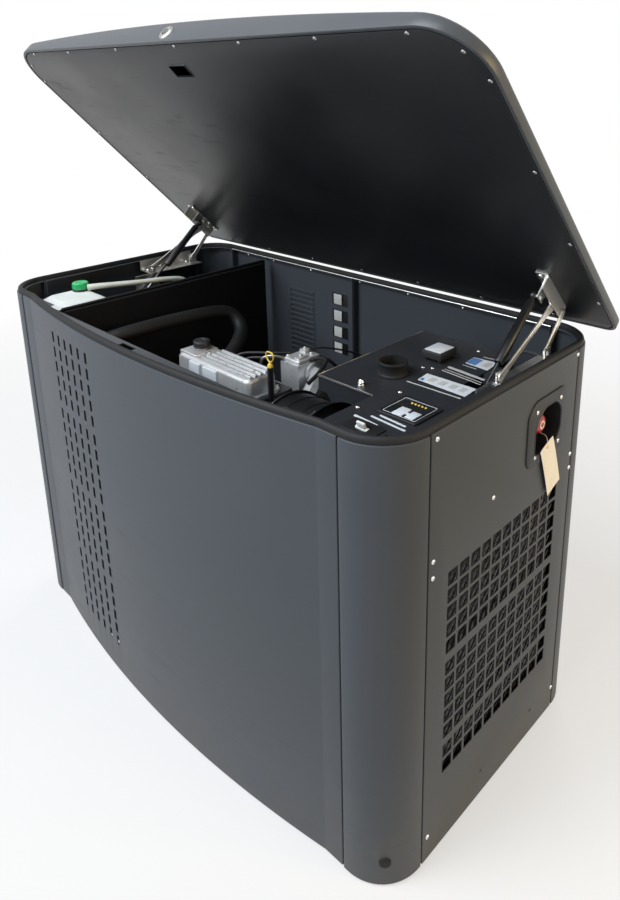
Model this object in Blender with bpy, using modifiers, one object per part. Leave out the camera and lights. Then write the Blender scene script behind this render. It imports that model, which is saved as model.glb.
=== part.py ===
"""Home standby generator: sheet-metal enclosure, engine set and open lid on four-bar hinges.

Metres, +Z up, front face towards -Y, control end towards +X, origin on the
floor under the middle of the enclosure.  Rest pose: lid open.
"""
import math

import bmesh
import bpy
from mathutils import Matrix, Vector

# ---------------------------------------------------------------- driving sizes
HALF_LEN = 0.665            # enclosure half length
HALF_DEPTH = 0.3455         # enclosure half depth at the corners
CORNER_R = 0.0965           # vertical corner post radius
BOW_DEPTH = 0.0455          # front panel bulge in plan
PANEL_BASE = 0.004          # panels end just above the floor
PANEL_TOP = 0.893           # panel top flange
SHEET = 0.002               # sheet thickness
RETURN = 0.020              # folded edge depth of every panel
GAP = 0.0003                # clearance between touching pieces
SEAM = 0.003                # visible seam between panels and posts
FACET = 0.001               # set-back of the front panel where it meets the posts
BASE_TOP = 0.050            # base frame height
FLOOR_TOP = 0.006           # base frame floor
SEAL_WIDTH = 0.016          # rim seal across its top
SEAL_INSET = 0.003          # rim seal behind the outer faces
LID_CROWN = 0.057           # lid height over its middle
LID_FALL = 0.070            # crown fall-off, metres per square metre
LID_OPEN = math.radians(45.4)
LID_C = (0.1105, -0.0227)   # front arm on the lid bracket (distance from rear edge, height)
LID_D = (0.0746, -0.0177)   # rear arm on the lid bracket
LID_S = (0.1455, -0.0298)   # gas strut tube on the lid bracket
STRUT_LEAN = 0.012          # rod and tube off the line between their pins, radians
PIN_R = 0.0040              # hinge and strut pins
CRANK = (-0.120, 0.360)     # crankshaft axis (y, z)
SHAFT_R = 0.019             # crankshaft radius
ENGINE_LEFT = -0.240        # engine block, fan side face
ALTERNATOR_X = 0.155        # joint face between engine and alternator
PARTITION_X = -0.400        # wall between the radiator and engine spaces
RADIATOR_TOP = 0.800        # top face of the radiator tank
FAN_R = 0.155               # fan sweep radius
HOSE_R = 0.019              # radiator hose radius
MUFFLER = (0.200, 0.300)    # muffler axis (y, z)
ESTOP_Y = 0.129             # emergency stop axis
STEM_R = 0.0057             # emergency stop stem radius
LOCK_X = -0.012             # lid lock axis along the lid
LOCK_H = 0.022              # lid lock axis above the lid underside
LOCK_R = 0.0105             # lid lock body radius
GRILLE = (11, 3)            # grille columns and slot groups

# ---------------------------------------------------------------- sizes that follow
SEAM_X = HALF_LEN - CORNER_R - 0.0095   # front and rear seam position
SEAM_Y = HALF_DEPTH - CORNER_R - 0.0045
BOW_HALF = SEAM_X - 0.046               # half length of the bulged stretch
REAR_IN = HALF_DEPTH - RETURN
SIDE_IN = HALF_LEN - RETURN
DECK_TOP = PANEL_TOP - 0.031            # control deck surface
SEAL_TOP = PANEL_TOP + 0.0125
LID_HALF = HALF_LEN + 0.039             # lid half length with its overhang
LID_DEPTH = 2 * HALF_DEPTH + BOW_DEPTH + 0.0785
LID_REAR = (HALF_DEPTH - 0.0065, PANEL_TOP + 0.017)    # open lid, rear edge of the underside (y, z)
PIVOT_A = (HALF_DEPTH - 0.2880, PANEL_TOP - 0.0184)    # front arm on the base bracket (y, z)
PIVOT_B = (HALF_DEPTH - 0.1346, PANEL_TOP - 0.0129)    # rear arm on the base bracket
PIVOT_G = (HALF_DEPTH - 0.3378, PANEL_TOP - 0.0784)    # gas strut rod on the base bracket
HINGE_X = HALF_LEN - 0.079              # inner face of the hinge brackets
ESTOP = (ESTOP_Y, PANEL_TOP - 0.127)    # emergency stop axis (y, z)
HOSE_PORT = (-0.270, RADIATOR_TOP - 0.020)             # radiator hose in the partition (y, z)
BULKHEAD_X = HALF_LEN - 0.187           # wall under the control deck
DECK_LEFT = HALF_LEN - 0.2075           # left edge of the narrow stretch of the deck
DECK_STEP = HALF_LEN - 0.350            # left edge of its wide stretch


# ---------------------------------------------------------------- scene helpers
for old in list(bpy.data.objects):
    bpy.data.objects.remove(old, do_unlink=True)

partsColl = bpy.data.collections.new("home_standby_generator")
toolsColl = bpy.data.collections.new("construction")
bpy.context.scene.collection.children.link(partsColl)
bpy.context.scene.collection.children.link(toolsColl)
materials = {}


def material(name, color, roughness, metallic):
    mat = bpy.data.materials.new(name)
    mat.use_nodes = True
    mat.diffuse_color = (*color, 1.0)
    shader = mat.node_tree.nodes["Principled BSDF"]
    shader.inputs["Base Color"].default_value = (*color, 1.0)
    shader.inputs["Roughness"].default_value = roughness
    shader.inputs["Metallic"].default_value = metallic
    materials[name] = mat


def addObject(name, data, at=(0, 0, 0), turn=(0, 0, 0)):
    obj = bpy.data.objects.new(name, data)
    obj.location = at
    obj.rotation_euler = turn
    toolsColl.objects.link(obj)
    obj.hide_render = True
    obj.display_type = "WIRE"
    return obj


def keep(obj, matName, parent=None, smooth=False):
    """Turn a construction object into a finished piece of the assembly."""
    toolsColl.objects.unlink(obj)
    partsColl.objects.link(obj)
    obj.hide_render = False
    obj.display_type = "TEXTURED"
    obj.data.materials.clear()
    obj.data.materials.append(materials[matName])
    if parent:
        obj.parent = parent
    if smooth:
        for poly in obj.data.polygons:
            poly.use_smooth = True
    return obj


def fromBmesh(name, bm, at, turn=(0, 0, 0)):
    mesh = bpy.data.meshes.new(name)
    bm.to_mesh(mesh)
    bm.free()
    return addObject(name, mesh, at, turn)


def block(name, low, high):
    low, high = Vector(low), Vector(high)
    bm = bmesh.new()
    bmesh.ops.create_cube(bm, size=1.0)
    bmesh.ops.scale(bm, vec=high - low, verts=bm.verts)
    return fromBmesh(name, bm, (low + high) / 2)


AXIS_TURN = {"X": (0, math.pi / 2, 0), "Y": (-math.pi / 2, 0, 0), "Z": (0, 0, 0)}


def rod(name, radius, start, length, axis="Z", sides=20):
    """Solid cylinder that starts at a point and runs along +axis."""
    bm = bmesh.new()
    bmesh.ops.create_cone(bm, cap_ends=True, segments=sides, radius1=radius, radius2=radius, depth=length)
    bmesh.ops.translate(bm, vec=(0, 0, length / 2), verts=bm.verts)
    return fromBmesh(name, bm, start, AXIS_TURN[axis])


def asMesh(curveObj):
    """Replace a curve object by the mesh it makes, with its doubles merged."""
    graph = bpy.context.evaluated_depsgraph_get()
    graph.update()
    mesh = bpy.data.meshes.new_from_object(curveObj.evaluated_get(graph))
    bm = bmesh.new()
    bm.from_mesh(mesh)
    bmesh.ops.remove_doubles(bm, verts=bm.verts, dist=1e-6)
    bmesh.ops.recalc_face_normals(bm, faces=bm.faces)
    bm.to_mesh(mesh)
    bm.free()
    name, at, turn = curveObj.name, tuple(curveObj.location), tuple(curveObj.rotation_euler)
    curve = curveObj.data
    bpy.data.objects.remove(curveObj, do_unlink=True)
    bpy.data.curves.remove(curve)
    return addObject(name, mesh, at, turn)


FACE_TURN = {"X": (math.pi / 2, 0, math.pi / 2), "Y": (math.pi / 2, 0, 0), "Z": (0, 0, 0)}


def plate(name, loops, low, high, normal="Z", origin=(0, 0)):
    """Flat outline(s) given in (y,z), (x,z) or (x,y), thick from low to high along the normal."""
    curve = bpy.data.curves.new(name, "CURVE")
    curve.dimensions = "2D"
    curve.fill_mode = "BOTH"
    curve.extrude = (high - low) / 2
    for loop in loops:
        spline = curve.splines.new("POLY")
        spline.points.add(len(loop) - 1)
        for point, (u, v) in zip(spline.points, loop):
            point.co = (u - origin[0], v - origin[1], 0, 1)
        spline.use_cyclic_u = True
    mid = (low + high) / 2
    at = {"X": (mid, *origin), "Y": (origin[0], mid, origin[1]), "Z": (*origin, mid)}[normal]
    return asMesh(addObject(name, curve, at, FACE_TURN[normal]))


def smoothRun(points, parts):
    """Points along a smooth curve through the given ones."""
    ends = [Vector(points[0]) * 2 - Vector(points[1]), Vector(points[-1]) * 2 - Vector(points[-2])]
    guide = [ends[0]] + [Vector(p) for p in points] + [ends[1]]
    run = []
    for a, b, c, d in zip(guide, guide[1:], guide[2:], guide[3:]):
        for i in range(parts):
            t = i / parts
            run.append(0.5 * (2 * b + (c - a) * t + (2 * a - 5 * b + 4 * c - d) * t ** 2
                              + (3 * b - a - 3 * c + d) * t ** 3))
    return run + [Vector(points[-1])]


def pipe(name, points, radius, resolution=2):
    """Round bar or hose with filled ends along a run of points."""
    curve = bpy.data.curves.new(name, "CURVE")
    curve.dimensions = "3D"
    curve.bevel_depth = radius
    curve.bevel_resolution = resolution
    curve.use_fill_caps = True
    spline = curve.splines.new("POLY")
    spline.points.add(len(points) - 1)
    for point, co in zip(spline.points, points):
        point.co = (*co, 1)
    return asMesh(addObject(name, curve))


def turned(name, profile, at, axis="Z", steps=24):
    """Closed (radius, height) profile swept about an axis; outer side runs top to bottom."""
    mesh = bpy.data.meshes.new(name)
    count = len(profile)
    onAxis = profile[0][0] == 0 and profile[-1][0] == 0
    edges = [(i, i + 1) for i in range(count - 1)] + ([] if onAxis else [(count - 1, 0)])
    mesh.from_pydata([(r, 0, h) for r, h in profile], edges, [])
    obj = addObject(name, mesh, at, AXIS_TURN[axis])
    screw = obj.modifiers.new("turn", "SCREW")
    screw.steps = screw.render_steps = steps
    screw.use_merge_vertices = True
    screw.merge_threshold = 0.00005
    return obj


def combine(obj, tool, operation):
    mod = obj.modifiers.new(operation.lower(), "BOOLEAN")
    mod.operation = operation
    mod.solver = "EXACT"
    mod.object = tool
    return obj


def fuse(obj, *tools):
    for tool in tools:
        combine(obj, tool, "UNION")
    return obj


def cut(obj, *tools):
    for tool in tools:
        combine(obj, tool, "DIFFERENCE")
    return obj


def manyBlocks(name, boxes):
    """Separate boxes held in one cutting tool."""
    bm = bmesh.new()
    for low, high in boxes:
        low, high = Vector(low), Vector(high)
        made = bmesh.ops.create_cube(bm, size=1.0)["verts"]
        bmesh.ops.scale(bm, vec=high - low, verts=made)
        bmesh.ops.translate(bm, vec=(low + high) / 2, verts=made)
    return fromBmesh(name, bm, (0, 0, 0))


def soften(obj, width, segments=1):
    bevel = obj.modifiers.new("soften", "BEVEL")
    bevel.width = width
    bevel.segments = segments
    bevel.limit_method = "ANGLE"
    return obj


def empty(name, at, turn=(0, 0, 0)):
    obj = bpy.data.objects.new(name, None)
    obj.location = at
    obj.rotation_euler = turn
    partsColl.objects.link(obj)
    return obj


def arc(center, radius, start, end, count):
    steps = [math.radians(start + (end - start) * i / count) for i in range(count + 1)]
    return [(center[0] + radius * math.cos(a), center[1] + radius * math.sin(a)) for a in steps]


def circle(center, radius, count=20):
    return arc(center, radius, 0, 360, count)[:-1]


def roundedBox(low, high, radius, count=4):
    (x0, y0), (x1, y1) = low, high
    return (arc((x1 - radius, y0 + radius), radius, -90, 0, count)
            + arc((x1 - radius, y1 - radius), radius, 0, 90, count)
            + arc((x0 + radius, y1 - radius), radius, 90, 180, count)
            + arc((x0 + radius, y0 + radius), radius, 180, 270, count))


# ---------------------------------------------------------------- enclosure
def bowLine(inset, count=24):
    """Bulged front line from left to right, moved inward by the inset."""
    points = []
    for i in range(count + 1):
        x = BOW_HALF * (2 * i / count - 1)
        points.append((x, -HALF_DEPTH - BOW_DEPTH * (1 - (x / BOW_HALF) ** 2) + inset))
    return points


def bodyLoop(inset):
    """Plan outline of the enclosure moved inward by the inset."""
    cx, cy, r = HALF_LEN - CORNER_R, HALF_DEPTH - CORNER_R, CORNER_R - inset
    return (bowLine(inset) + arc((cx, -cy), r, -90, 0, 8) + arc((cx, cy), r, 0, 90, 8)
            + arc((-cx, cy), r, 90, 180, 8) + arc((-cx, -cy), r, 180, 270, 8))


def buildBase():
    inner = 0.030
    low, high = (-SIDE_IN + GAP, -REAR_IN + GAP), (SIDE_IN - GAP, REAR_IN - GAP)
    radius = CORNER_R - RETURN - GAP
    base = plate("base_frame", [roundedBox(low, high, radius, 8)], 0, BASE_TOP)
    pocketLow = (low[0] + inner, low[1] + inner)
    pocketHigh = (high[0] - inner, high[1] - inner)
    cut(base, plate("base_pocket", [roundedBox(pocketLow, pocketHigh, radius - inner, 6)],
                    FLOOR_TOP, BASE_TOP + 0.01))
    for index, (x, half) in enumerate(((PARTITION_X - 0.020, 0.042), (-0.200, 0.020), (0.360, 0.020),
                                    (BULKHEAD_X + 0.001, 0.015))):
        fuse(base, block(f"base_rail_{index}", (x - half, pocketLow[1] - 0.010, FLOOR_TOP - 0.003),
                         (x + half, pocketHigh[1] + 0.010, BASE_TOP)))
    keep(base, "frame_paint")


def buildPost(name, sx, sy):
    """Quarter-round corner post with folded edges."""
    def loop(outer, inner, trim):
        cx, cy = HALF_LEN - CORNER_R, HALF_DEPTH - CORNER_R
        startX, endY = SEAM_X + SEAM / 2 + trim, SEAM_Y + SEAM / 2 + trim
        rim = [(startX, -HALF_DEPTH + outer)] + arc((cx, -cy), CORNER_R - outer, -90, 0, 8)
        rim += [(HALF_LEN - outer, -endY), (HALF_LEN - inner, -endY)]
        rim += arc((cx, -cy), CORNER_R - inner, 0, -90, 8) + [(startX, -HALF_DEPTH + inner)]
        return [(sx * x, sy * y) for x, y in rim]
    post = plate(name, [loop(0, RETURN, 0)], PANEL_BASE, PANEL_TOP)
    cut(post, plate(name + "_pocket", [loop(SHEET, RETURN + 0.004, SHEET)],
                    PANEL_BASE + SHEET, PANEL_TOP - SHEET))
    keep(post, "panel_paint")
    return post


def buildFrontPanel():
    edge, step, lip = SEAM_X - SEAM / 2, BOW_HALF - 0.093, -HALF_DEPTH + 0.0035
    side = -HALF_DEPTH + FACET
    outer = ([(-edge, side)] + bowLine(0) + [(edge, side), (edge, -REAR_IN), (step, -REAR_IN)]
             + [(step, lip), (-step, lip), (-step, -REAR_IN), (-edge, -REAR_IN)])
    panel = plate("front_panel", [outer], PANEL_BASE, PANEL_TOP)
    inner = edge - SHEET
    pocket = ([(-inner, side + SHEET)] + bowLine(SHEET)
              + [(inner, side + SHEET), (inner, 0.025 - REAR_IN), (-inner, 0.025 - REAR_IN)])
    cut(panel, plate("front_pocket", [pocket], PANEL_BASE + SHEET, PANEL_TOP - SHEET))
    vents = []
    columns, rows, pitch, top, width = 6, 5, 0.152, PANEL_TOP - 0.041, 0.005
    far, near = -HALF_DEPTH - BOW_DEPTH - 0.029, -HALF_DEPTH - 0.0005
    for col in range(columns):
        x = -0.346 + 0.030 * col
        for row in range(rows):
            z = top - pitch * row
            vents.append(((x - width / 2, far, z - pitch + 0.012), (x + width / 2, near, z)))
    cut(panel, manyBlocks("front_vents", vents))
    slot = -HALF_DEPTH - 0.0130
    cut(panel, block("latch_slot", (LOCK_X - 0.041, slot - 0.0075, PANEL_TOP - 0.006),
                     (LOCK_X + 0.009, slot + 0.0075, PANEL_TOP + 0.004)))
    keep(panel, "panel_paint")


def panelPan(name, low, high, opening):
    """Flat panel with folded edges; the pan opens towards the opening direction."""
    pan = block(name, low, high)
    inLow, inHigh = [v + SHEET for v in low], [v - SHEET for v in high]
    axis, sign = opening
    if sign > 0:
        inHigh[axis] = high[axis] + 0.004
    else:
        inLow[axis] = low[axis] - 0.004
    return cut(pan, block(name + "_pocket", inLow, inHigh))


def buildRearPanels():
    edge, mid = SEAM_X - SEAM / 2, -0.033
    left = panelPan("rear_panel_left", (-edge, REAR_IN, PANEL_BASE),
                    (mid - SEAM / 2, HALF_DEPTH, PANEL_TOP), (1, -1))
    near, far = HALF_DEPTH - 0.0055, HALF_DEPTH + 0.0045
    louvres = [((-0.302, near, PANEL_TOP - 0.079 - 0.0155 * i), (-0.206, far, PANEL_TOP - 0.072 - 0.0155 * i))
               for i in range(13)]
    windows = [((-0.128, near, PANEL_TOP - 0.097 - 0.0487 * i), (-0.068, far, PANEL_TOP - 0.061 - 0.0487 * i))
               for i in range(4)]
    cut(left, manyBlocks("rear_louvres", louvres + windows))
    keep(left, "panel_paint")
    right = panelPan("rear_panel_right", (mid + SEAM / 2, REAR_IN, PANEL_BASE),
                     (edge, HALF_DEPTH, PANEL_TOP), (1, -1))
    keep(right, "panel_paint")


def buildEndPanels():
    edge = SEAM_Y - SEAM / 2
    right = panelPan("right_panel", (SIDE_IN, -edge, PANEL_BASE), (HALF_LEN, edge, PANEL_TOP), (0, -1))
    grille = []
    near, far = HALF_LEN - 0.010, HALF_LEN + 0.010
    pitchY, hole, groups = 0.0347, 0.028, ((0.614, 0.444), (0.426, 0.256), (0.240, 0.176))
    for col in range(GRILLE[0]):
        y = (col - (GRILLE[0] - 1) / 2) * pitchY
        for top, bottom in groups[:GRILLE[1]]:
            grille.append(((near, y - hole / 2, bottom), (far, y + hole / 2, top)))
    cut(right, manyBlocks("right_grille", grille))
    halfY, halfZ = 0.0560, 0.0535
    cut(right, block("estop_cutout", (near, ESTOP[0] - halfY, ESTOP[1] - halfZ),
                     (far, ESTOP[0] + halfY, ESTOP[1] + halfZ)))
    keep(right, "panel_paint")
    left = panelPan("left_panel", (-HALF_LEN, -edge, PANEL_BASE), (-SIDE_IN, edge, PANEL_TOP), (0, 1))
    slots = [((-far, -0.225, 0.130 + 0.050 * i), (-near, 0.100, 0.155 + 0.050 * i)) for i in range(11)]
    cut(left, manyBlocks("left_slots", slots), rod("tail_hole", 0.028, (-far, *MUFFLER), 0.020, "X"))
    keep(left, "panel_paint")


def buildSeal():
    seal = plate("rim_seal", [bodyLoop(SEAL_INSET), bodyLoop(SEAL_INSET + SEAL_WIDTH)],
                 PANEL_TOP + GAP, SEAL_TOP)
    keep(seal, "rubber")


def buildPartition():
    """Wall between the radiator space and the engine space."""
    edge = REAR_IN - GAP
    top = PANEL_TOP - 0.011
    outline = [(-edge, BASE_TOP + GAP), (edge, BASE_TOP + GAP), (edge, top), (-edge, top)]
    holes = [circle(CRANK, FAN_R + 0.013, 32), circle(HOSE_PORT, HOSE_R + 0.0015, 16), circle(MUFFLER, 0.030, 16)]
    wall = plate("partition_wall", [outline] + holes, PARTITION_X - SHEET / 2, PARTITION_X + SHEET / 2, "X")
    keep(wall, "black_liner")


def endX(distance):
    """Place along the enclosure, counted back from the control end."""
    return HALF_LEN - distance


CONTROLLER = (endX(0.1160), -0.1510)    # centre (x, y)
BREAKER = (endX(0.1330), -0.2550)
KEY = (endX(0.0590), -0.2750)
INTAKE = (endX(0.2450), -0.0440)
RELAY = (endX(0.2245), 0.0800)


def deckHole(name, center, halfX, halfY):
    (x, y) = center
    return block(name, (x - halfX, y - halfY, DECK_TOP - 0.010), (x + halfX, y + halfY, DECK_TOP + 0.010))


def buildDeck():
    """Control deck with its bulkhead standing on the base frame."""
    right, front = SIDE_IN - GAP, -REAR_IN + GAP
    r = CORNER_R - RETURN - GAP
    step, back, stepY, cornerX = 0.190, SEAM_Y - 0.0045, -0.145, endX(0.115)
    outline = ([(DECK_LEFT, front)] + arc((right - r, front + r), r, -90, 0, 5)
               + [(right, back), (cornerX, back), (cornerX, step), (DECK_STEP, step), (DECK_STEP, stepY),
                  (DECK_LEFT, stepY)])
    deck = plate("control_deck", [outline], DECK_TOP - SHEET, DECK_TOP)
    low, high = DECK_TOP - 0.032, DECK_TOP - SHEET / 4
    fuse(deck,
         block("deck_bulkhead", (BULKHEAD_X, -REAR_IN + 0.0055, BASE_TOP + GAP),
               (BULKHEAD_X + SHEET, step, DECK_TOP - SHEET / 2)),
         block("deck_skirt_front", (DECK_STEP, stepY, low), (DECK_LEFT, stepY + SHEET, high)),
         block("deck_skirt_left", (DECK_STEP, stepY, low), (DECK_STEP + SHEET, step, high)),
         block("deck_skirt_rear", (DECK_STEP, step - SHEET, low), (cornerX, step, high)),
         block("deck_skirt_right", (right - SHEET, -SEAM_Y, low), (right, back, high)))
    cut(deck,
        block("bulkhead_window", (BULKHEAD_X - 0.008, -0.220, 0.250), (BULKHEAD_X + 0.012, -0.020, 0.470)),
        rod("intake_hole", 0.0240, (*INTAKE, DECK_TOP - 0.010), 0.020),
        deckHole("controller_hole", CONTROLLER, 0.0370, 0.0350),
        deckHole("breaker_hole", BREAKER, 0.0300, 0.0170),
        rod("key_hole", 0.0083, (*KEY, DECK_TOP - 0.010), 0.020),
        deckHole("strut_slot", (HINGE_X - 0.01525, PIVOT_G[0] + 0.0965), 0.01875, 0.1230))
    keep(deck, "deck_paint")


# ---------------------------------------------------------------- controls
def buildControls():
    seat = DECK_TOP + GAP

    def around(name, center, halfX, halfY, low, high):
        (x, y) = center
        return block(name, (x - halfX, y - halfY, low), (x + halfX, y + halfY, high))

    controller = around("controller", CONTROLLER, 0.0365, 0.0345, DECK_TOP - 0.040, DECK_TOP + 0.003)
    fuse(controller, around("controller_bezel", CONTROLLER, 0.0430, 0.0410, seat, seat + 0.004))
    keep(controller, "black_plastic")

    breaker = around("breaker_body", BREAKER, 0.0295, 0.0165, DECK_TOP - 0.045, DECK_TOP + 0.003)
    fuse(breaker, around("breaker_flange", BREAKER, 0.0340, 0.0220, seat, seat + 0.003))
    cut(breaker, around("breaker_well", BREAKER, 0.0140, 0.0100, DECK_TOP - 0.008, DECK_TOP + 0.012))
    keep(breaker, "black_plastic")
    pivot = empty("toggle_pivot", (*BREAKER, DECK_TOP), (math.radians(20), 0, 0))
    toggle = rod("breaker_toggle", 0.0045, (-0.0137, 0, 0), 0.0274, "X", 12)
    lever = block("toggle_lever", (-0.0090, -0.0025, 0.001), (0.0090, 0.0025, 0.015))
    fuse(toggle, lever)
    toggle.parent = lever.parent = pivot
    keep(toggle, "white_plastic")

    relay = around("relay_box", RELAY, 0.0240, 0.0285, DECK_TOP + 0.006, DECK_TOP + 0.022)
    soften(relay, 0.0015)
    for sx in (-1, 1):
        for sy in (-1, 1):
            foot = (RELAY[0] + 0.0175 * sx, RELAY[1] + 0.0220 * sy, seat)
            fuse(relay, rod(f"relay_foot_{sx}_{sy}", 0.003, foot, 0.007, "Z", 8))
    keep(relay, "black_plastic")

    profile = [(0.0290, 0.0275), (0.0290, 0.0030), (0.0330, 0.0030), (0.0330, 0), (0.0240, 0), (0.0240, 0.0275)]
    keep(turned("intake_tube", profile, (*INTAKE, seat)), "rubber")

    keyProfile = [(0.0045, 0.0060), (0.0110, 0.0060), (0.0110, 0), (0.0080, 0), (0.0080, -0.0250),
                  (0.0045, -0.0250)]
    keep(turned("key_switch", keyProfile, (*KEY, seat), steps=16), "bright_metal")
    key = rod("key", 0.0042, (*KEY, DECK_TOP - 0.020), 0.0275, "Z", 12)
    fuse(key, around("key_bow", KEY, 0.0115, 0.0015, DECK_TOP + 0.0068, DECK_TOP + 0.0220))
    keep(key, "bright_metal")


def buildEmergencyStop():
    y, z = ESTOP
    face, floor = HALF_LEN + GAP, HALF_LEN - 0.048
    outer = [(y - 0.060, z - 0.069), (y + 0.066, z - 0.060), (y + 0.078, z - 0.040), (y + 0.078, z + 0.045),
             (y + 0.058, z + 0.069), (y - 0.060, z + 0.069), (y - 0.076, z + 0.050), (y - 0.076, z - 0.050)]
    housing = plate("estop_housing", [outer], face, face + 0.003, "X")
    fuse(housing, block("estop_cup", (floor, y - 0.0555, z - 0.0530), (face + 0.001, y + 0.0555, z + 0.0530)))
    cut(housing, block("estop_well", (floor + 0.003, y - 0.0480, z - 0.0455),
                       (face + 0.010, y + 0.0480, z + 0.0455)))
    fuse(housing, rod("estop_collar", 0.014, (floor + 0.001, y, z), 0.019, "X", 24))
    cut(housing, rod("estop_bore", STEM_R + GAP, (floor - 0.010, y, z), 0.040, "X", 24))
    keep(housing, "black_plastic")

    headX = floor + 0.025
    stem = rod("estop_stem", STEM_R, (floor - 0.007, y, z), headX - floor + 0.007, "X", 20)
    keep(stem, "bright_metal")
    headProfile = [(0, 0.0145), (0.0120, 0.0140), (0.0180, 0.0105), (0.0200, 0.0060), (0.0185, 0.0020),
                   (0.0100, 0), (0, 0)]
    keep(turned("estop_head", headProfile, (headX + GAP, y, z), "X", 28), "red_plastic", smooth=True)

    tilt = math.radians(20)
    ringX, ringR, wire, sheetX = floor + 0.011, 0.0166, 0.0012, face + 0.0047
    tag = plate("tag", [circle((0, 0), ringR, 20), circle((0, 0), ringR - 2 * wire, 20)],
                ringX - wire, ringX + wire, "X")
    string = pipe("tag_string", [(ringX, 0, wire - ringR), (ringX + 0.006, 0, -0.0240), (ringX + 0.032, 0, -0.0265),
                                 (sheetX, 0, -0.0310), (sheetX, 0, -0.0400)], wire, 1)
    sheet = plate("tag_sheet", [[(-0.017, -0.028), (0.017, -0.028), (0.025, -0.036), (0.025, -0.158),
                                 (-0.025, -0.158), (-0.025, -0.036)]], sheetX - wire / 2, sheetX + wire / 2, "X")
    fuse(tag, string, sheet)
    pivot = empty("tag_pivot", (0, y, z), (tilt, 0, 0))
    for part in (tag, string, sheet):
        part.parent = pivot
    keep(tag, "tag_paper")


# ---------------------------------------------------------------- cooling
def buildCooling():
    face, top = PARTITION_X - SHEET / 2 - GAP, RADIATOR_TOP
    radiator = block("radiator", (face - 0.060, -0.300, 0.080), (face, 0.060, top - 0.040))
    fuse(radiator,
         block("radiator_bottom_tank", (face - 0.0617, -0.306, BASE_TOP + GAP), (face, 0.066, 0.100)),
         block("radiator_top_tank", (face - 0.0617, -0.306, top - 0.060), (face, 0.066, top)),
         rod("radiator_neck", 0.016, (face - 0.0307, -0.020, top - 0.005), 0.020))
    keep(radiator, "black_paint")

    hubR, bladeX = 0.038, PARTITION_X + 0.042
    hub = turned("fan", [(0, 0.030), (0.030, 0.030), (hubR, 0.022), (hubR, 0), (0, 0)],
                 (bladeX - 0.012, *CRANK), "X", 24)
    root, tip = hubR - 0.008, FAN_R
    for i in range(6):
        blade = block(f"fan_blade_{i}", (-0.0015, -0.020, root), (0.0015, 0.020, tip))
        for vert in blade.data.vertices:
            vert.co.z += (root + tip) / 2
        angle = 2 * math.pi * i / 6
        spin = Matrix.Rotation(angle, 3, "X") @ Matrix.Rotation(math.radians(32), 3, "Z")
        blade.rotation_euler = spin.to_euler()
        blade.location = (bladeX, *CRANK)
        fuse(hub, blade)
    keep(hub, "black_plastic")

    tankX, tankTop = PARTITION_X - 0.155, top + 0.073
    tank = block("coolant_tank", (tankX - 0.045, -0.300, top + GAP), (tankX + 0.125, -0.150, tankTop))
    soften(tank, 0.012, 2)
    fuse(tank, block("tank_tab", (tankX + 0.115, -0.260, top + 0.012), (face, -0.190, top + 0.020)),
         rod("tank_neck", 0.017, (tankX, -0.190, tankTop - 0.003), 0.007))
    keep(tank, "white_plastic")
    capProfile = [(0, 0.018), (0.019, 0.018), (0.022, 0.014), (0.022, 0), (0, 0)]
    keep(turned("coolant_cap", capProfile, (tankX, -0.190, tankTop + 0.004 + GAP), steps=20), "green_plastic")

    route = [(-0.170, -0.150 + GAP, 0.045), (-0.170, -0.132, 0.046), (-0.171, -0.105, 0.062), (-0.166, -0.035, 0.074),
             (-0.110, 0.035, 0.074), (-0.062, 0.070, 0.068), (-0.036, 0.045, 0.045), (-0.032, 0.008, 0.030),
             (-0.032, -0.012, 0.0213)]
    overflow = pipe("overflow_hose", smoothRun([(PARTITION_X + x, y, top + z) for x, y, z in route], 2), 0.006)
    keep(overflow, "clear_hose", smooth=True)
    start, end = face + GAP, ENGINE_LEFT + 0.0697
    route = [(-0.020, -0.270, -0.020), (0.010, -0.270, -0.020), (0.036, -0.264, -0.014), (0.065, -0.240, 0), (0.082, -0.180, 0.008),
             (0.088, -0.060, 0.008), (0.095, 0.070, 0), (0.110, 0.115, -0.020), (0.145, 0.110, -0.055),
             (0.185, 0.040, -0.090), (0.205, -0.040, -0.104), (0.235, -0.100, -0.110)]
    hose = pipe("radiator_hose", smoothRun([(PARTITION_X + x, y, top + z) for x, y, z in route], 2), HOSE_R)
    cut(hose, block("hose_trim", (end, -0.160, top - 0.160), (end + 0.050, -0.020, top - 0.060)),
        block("hose_trim_left", (start - 0.040, -0.310, top - 0.060), (start, -0.230, top + 0.020)))
    keep(hose, "rubber", smooth=True)


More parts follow.
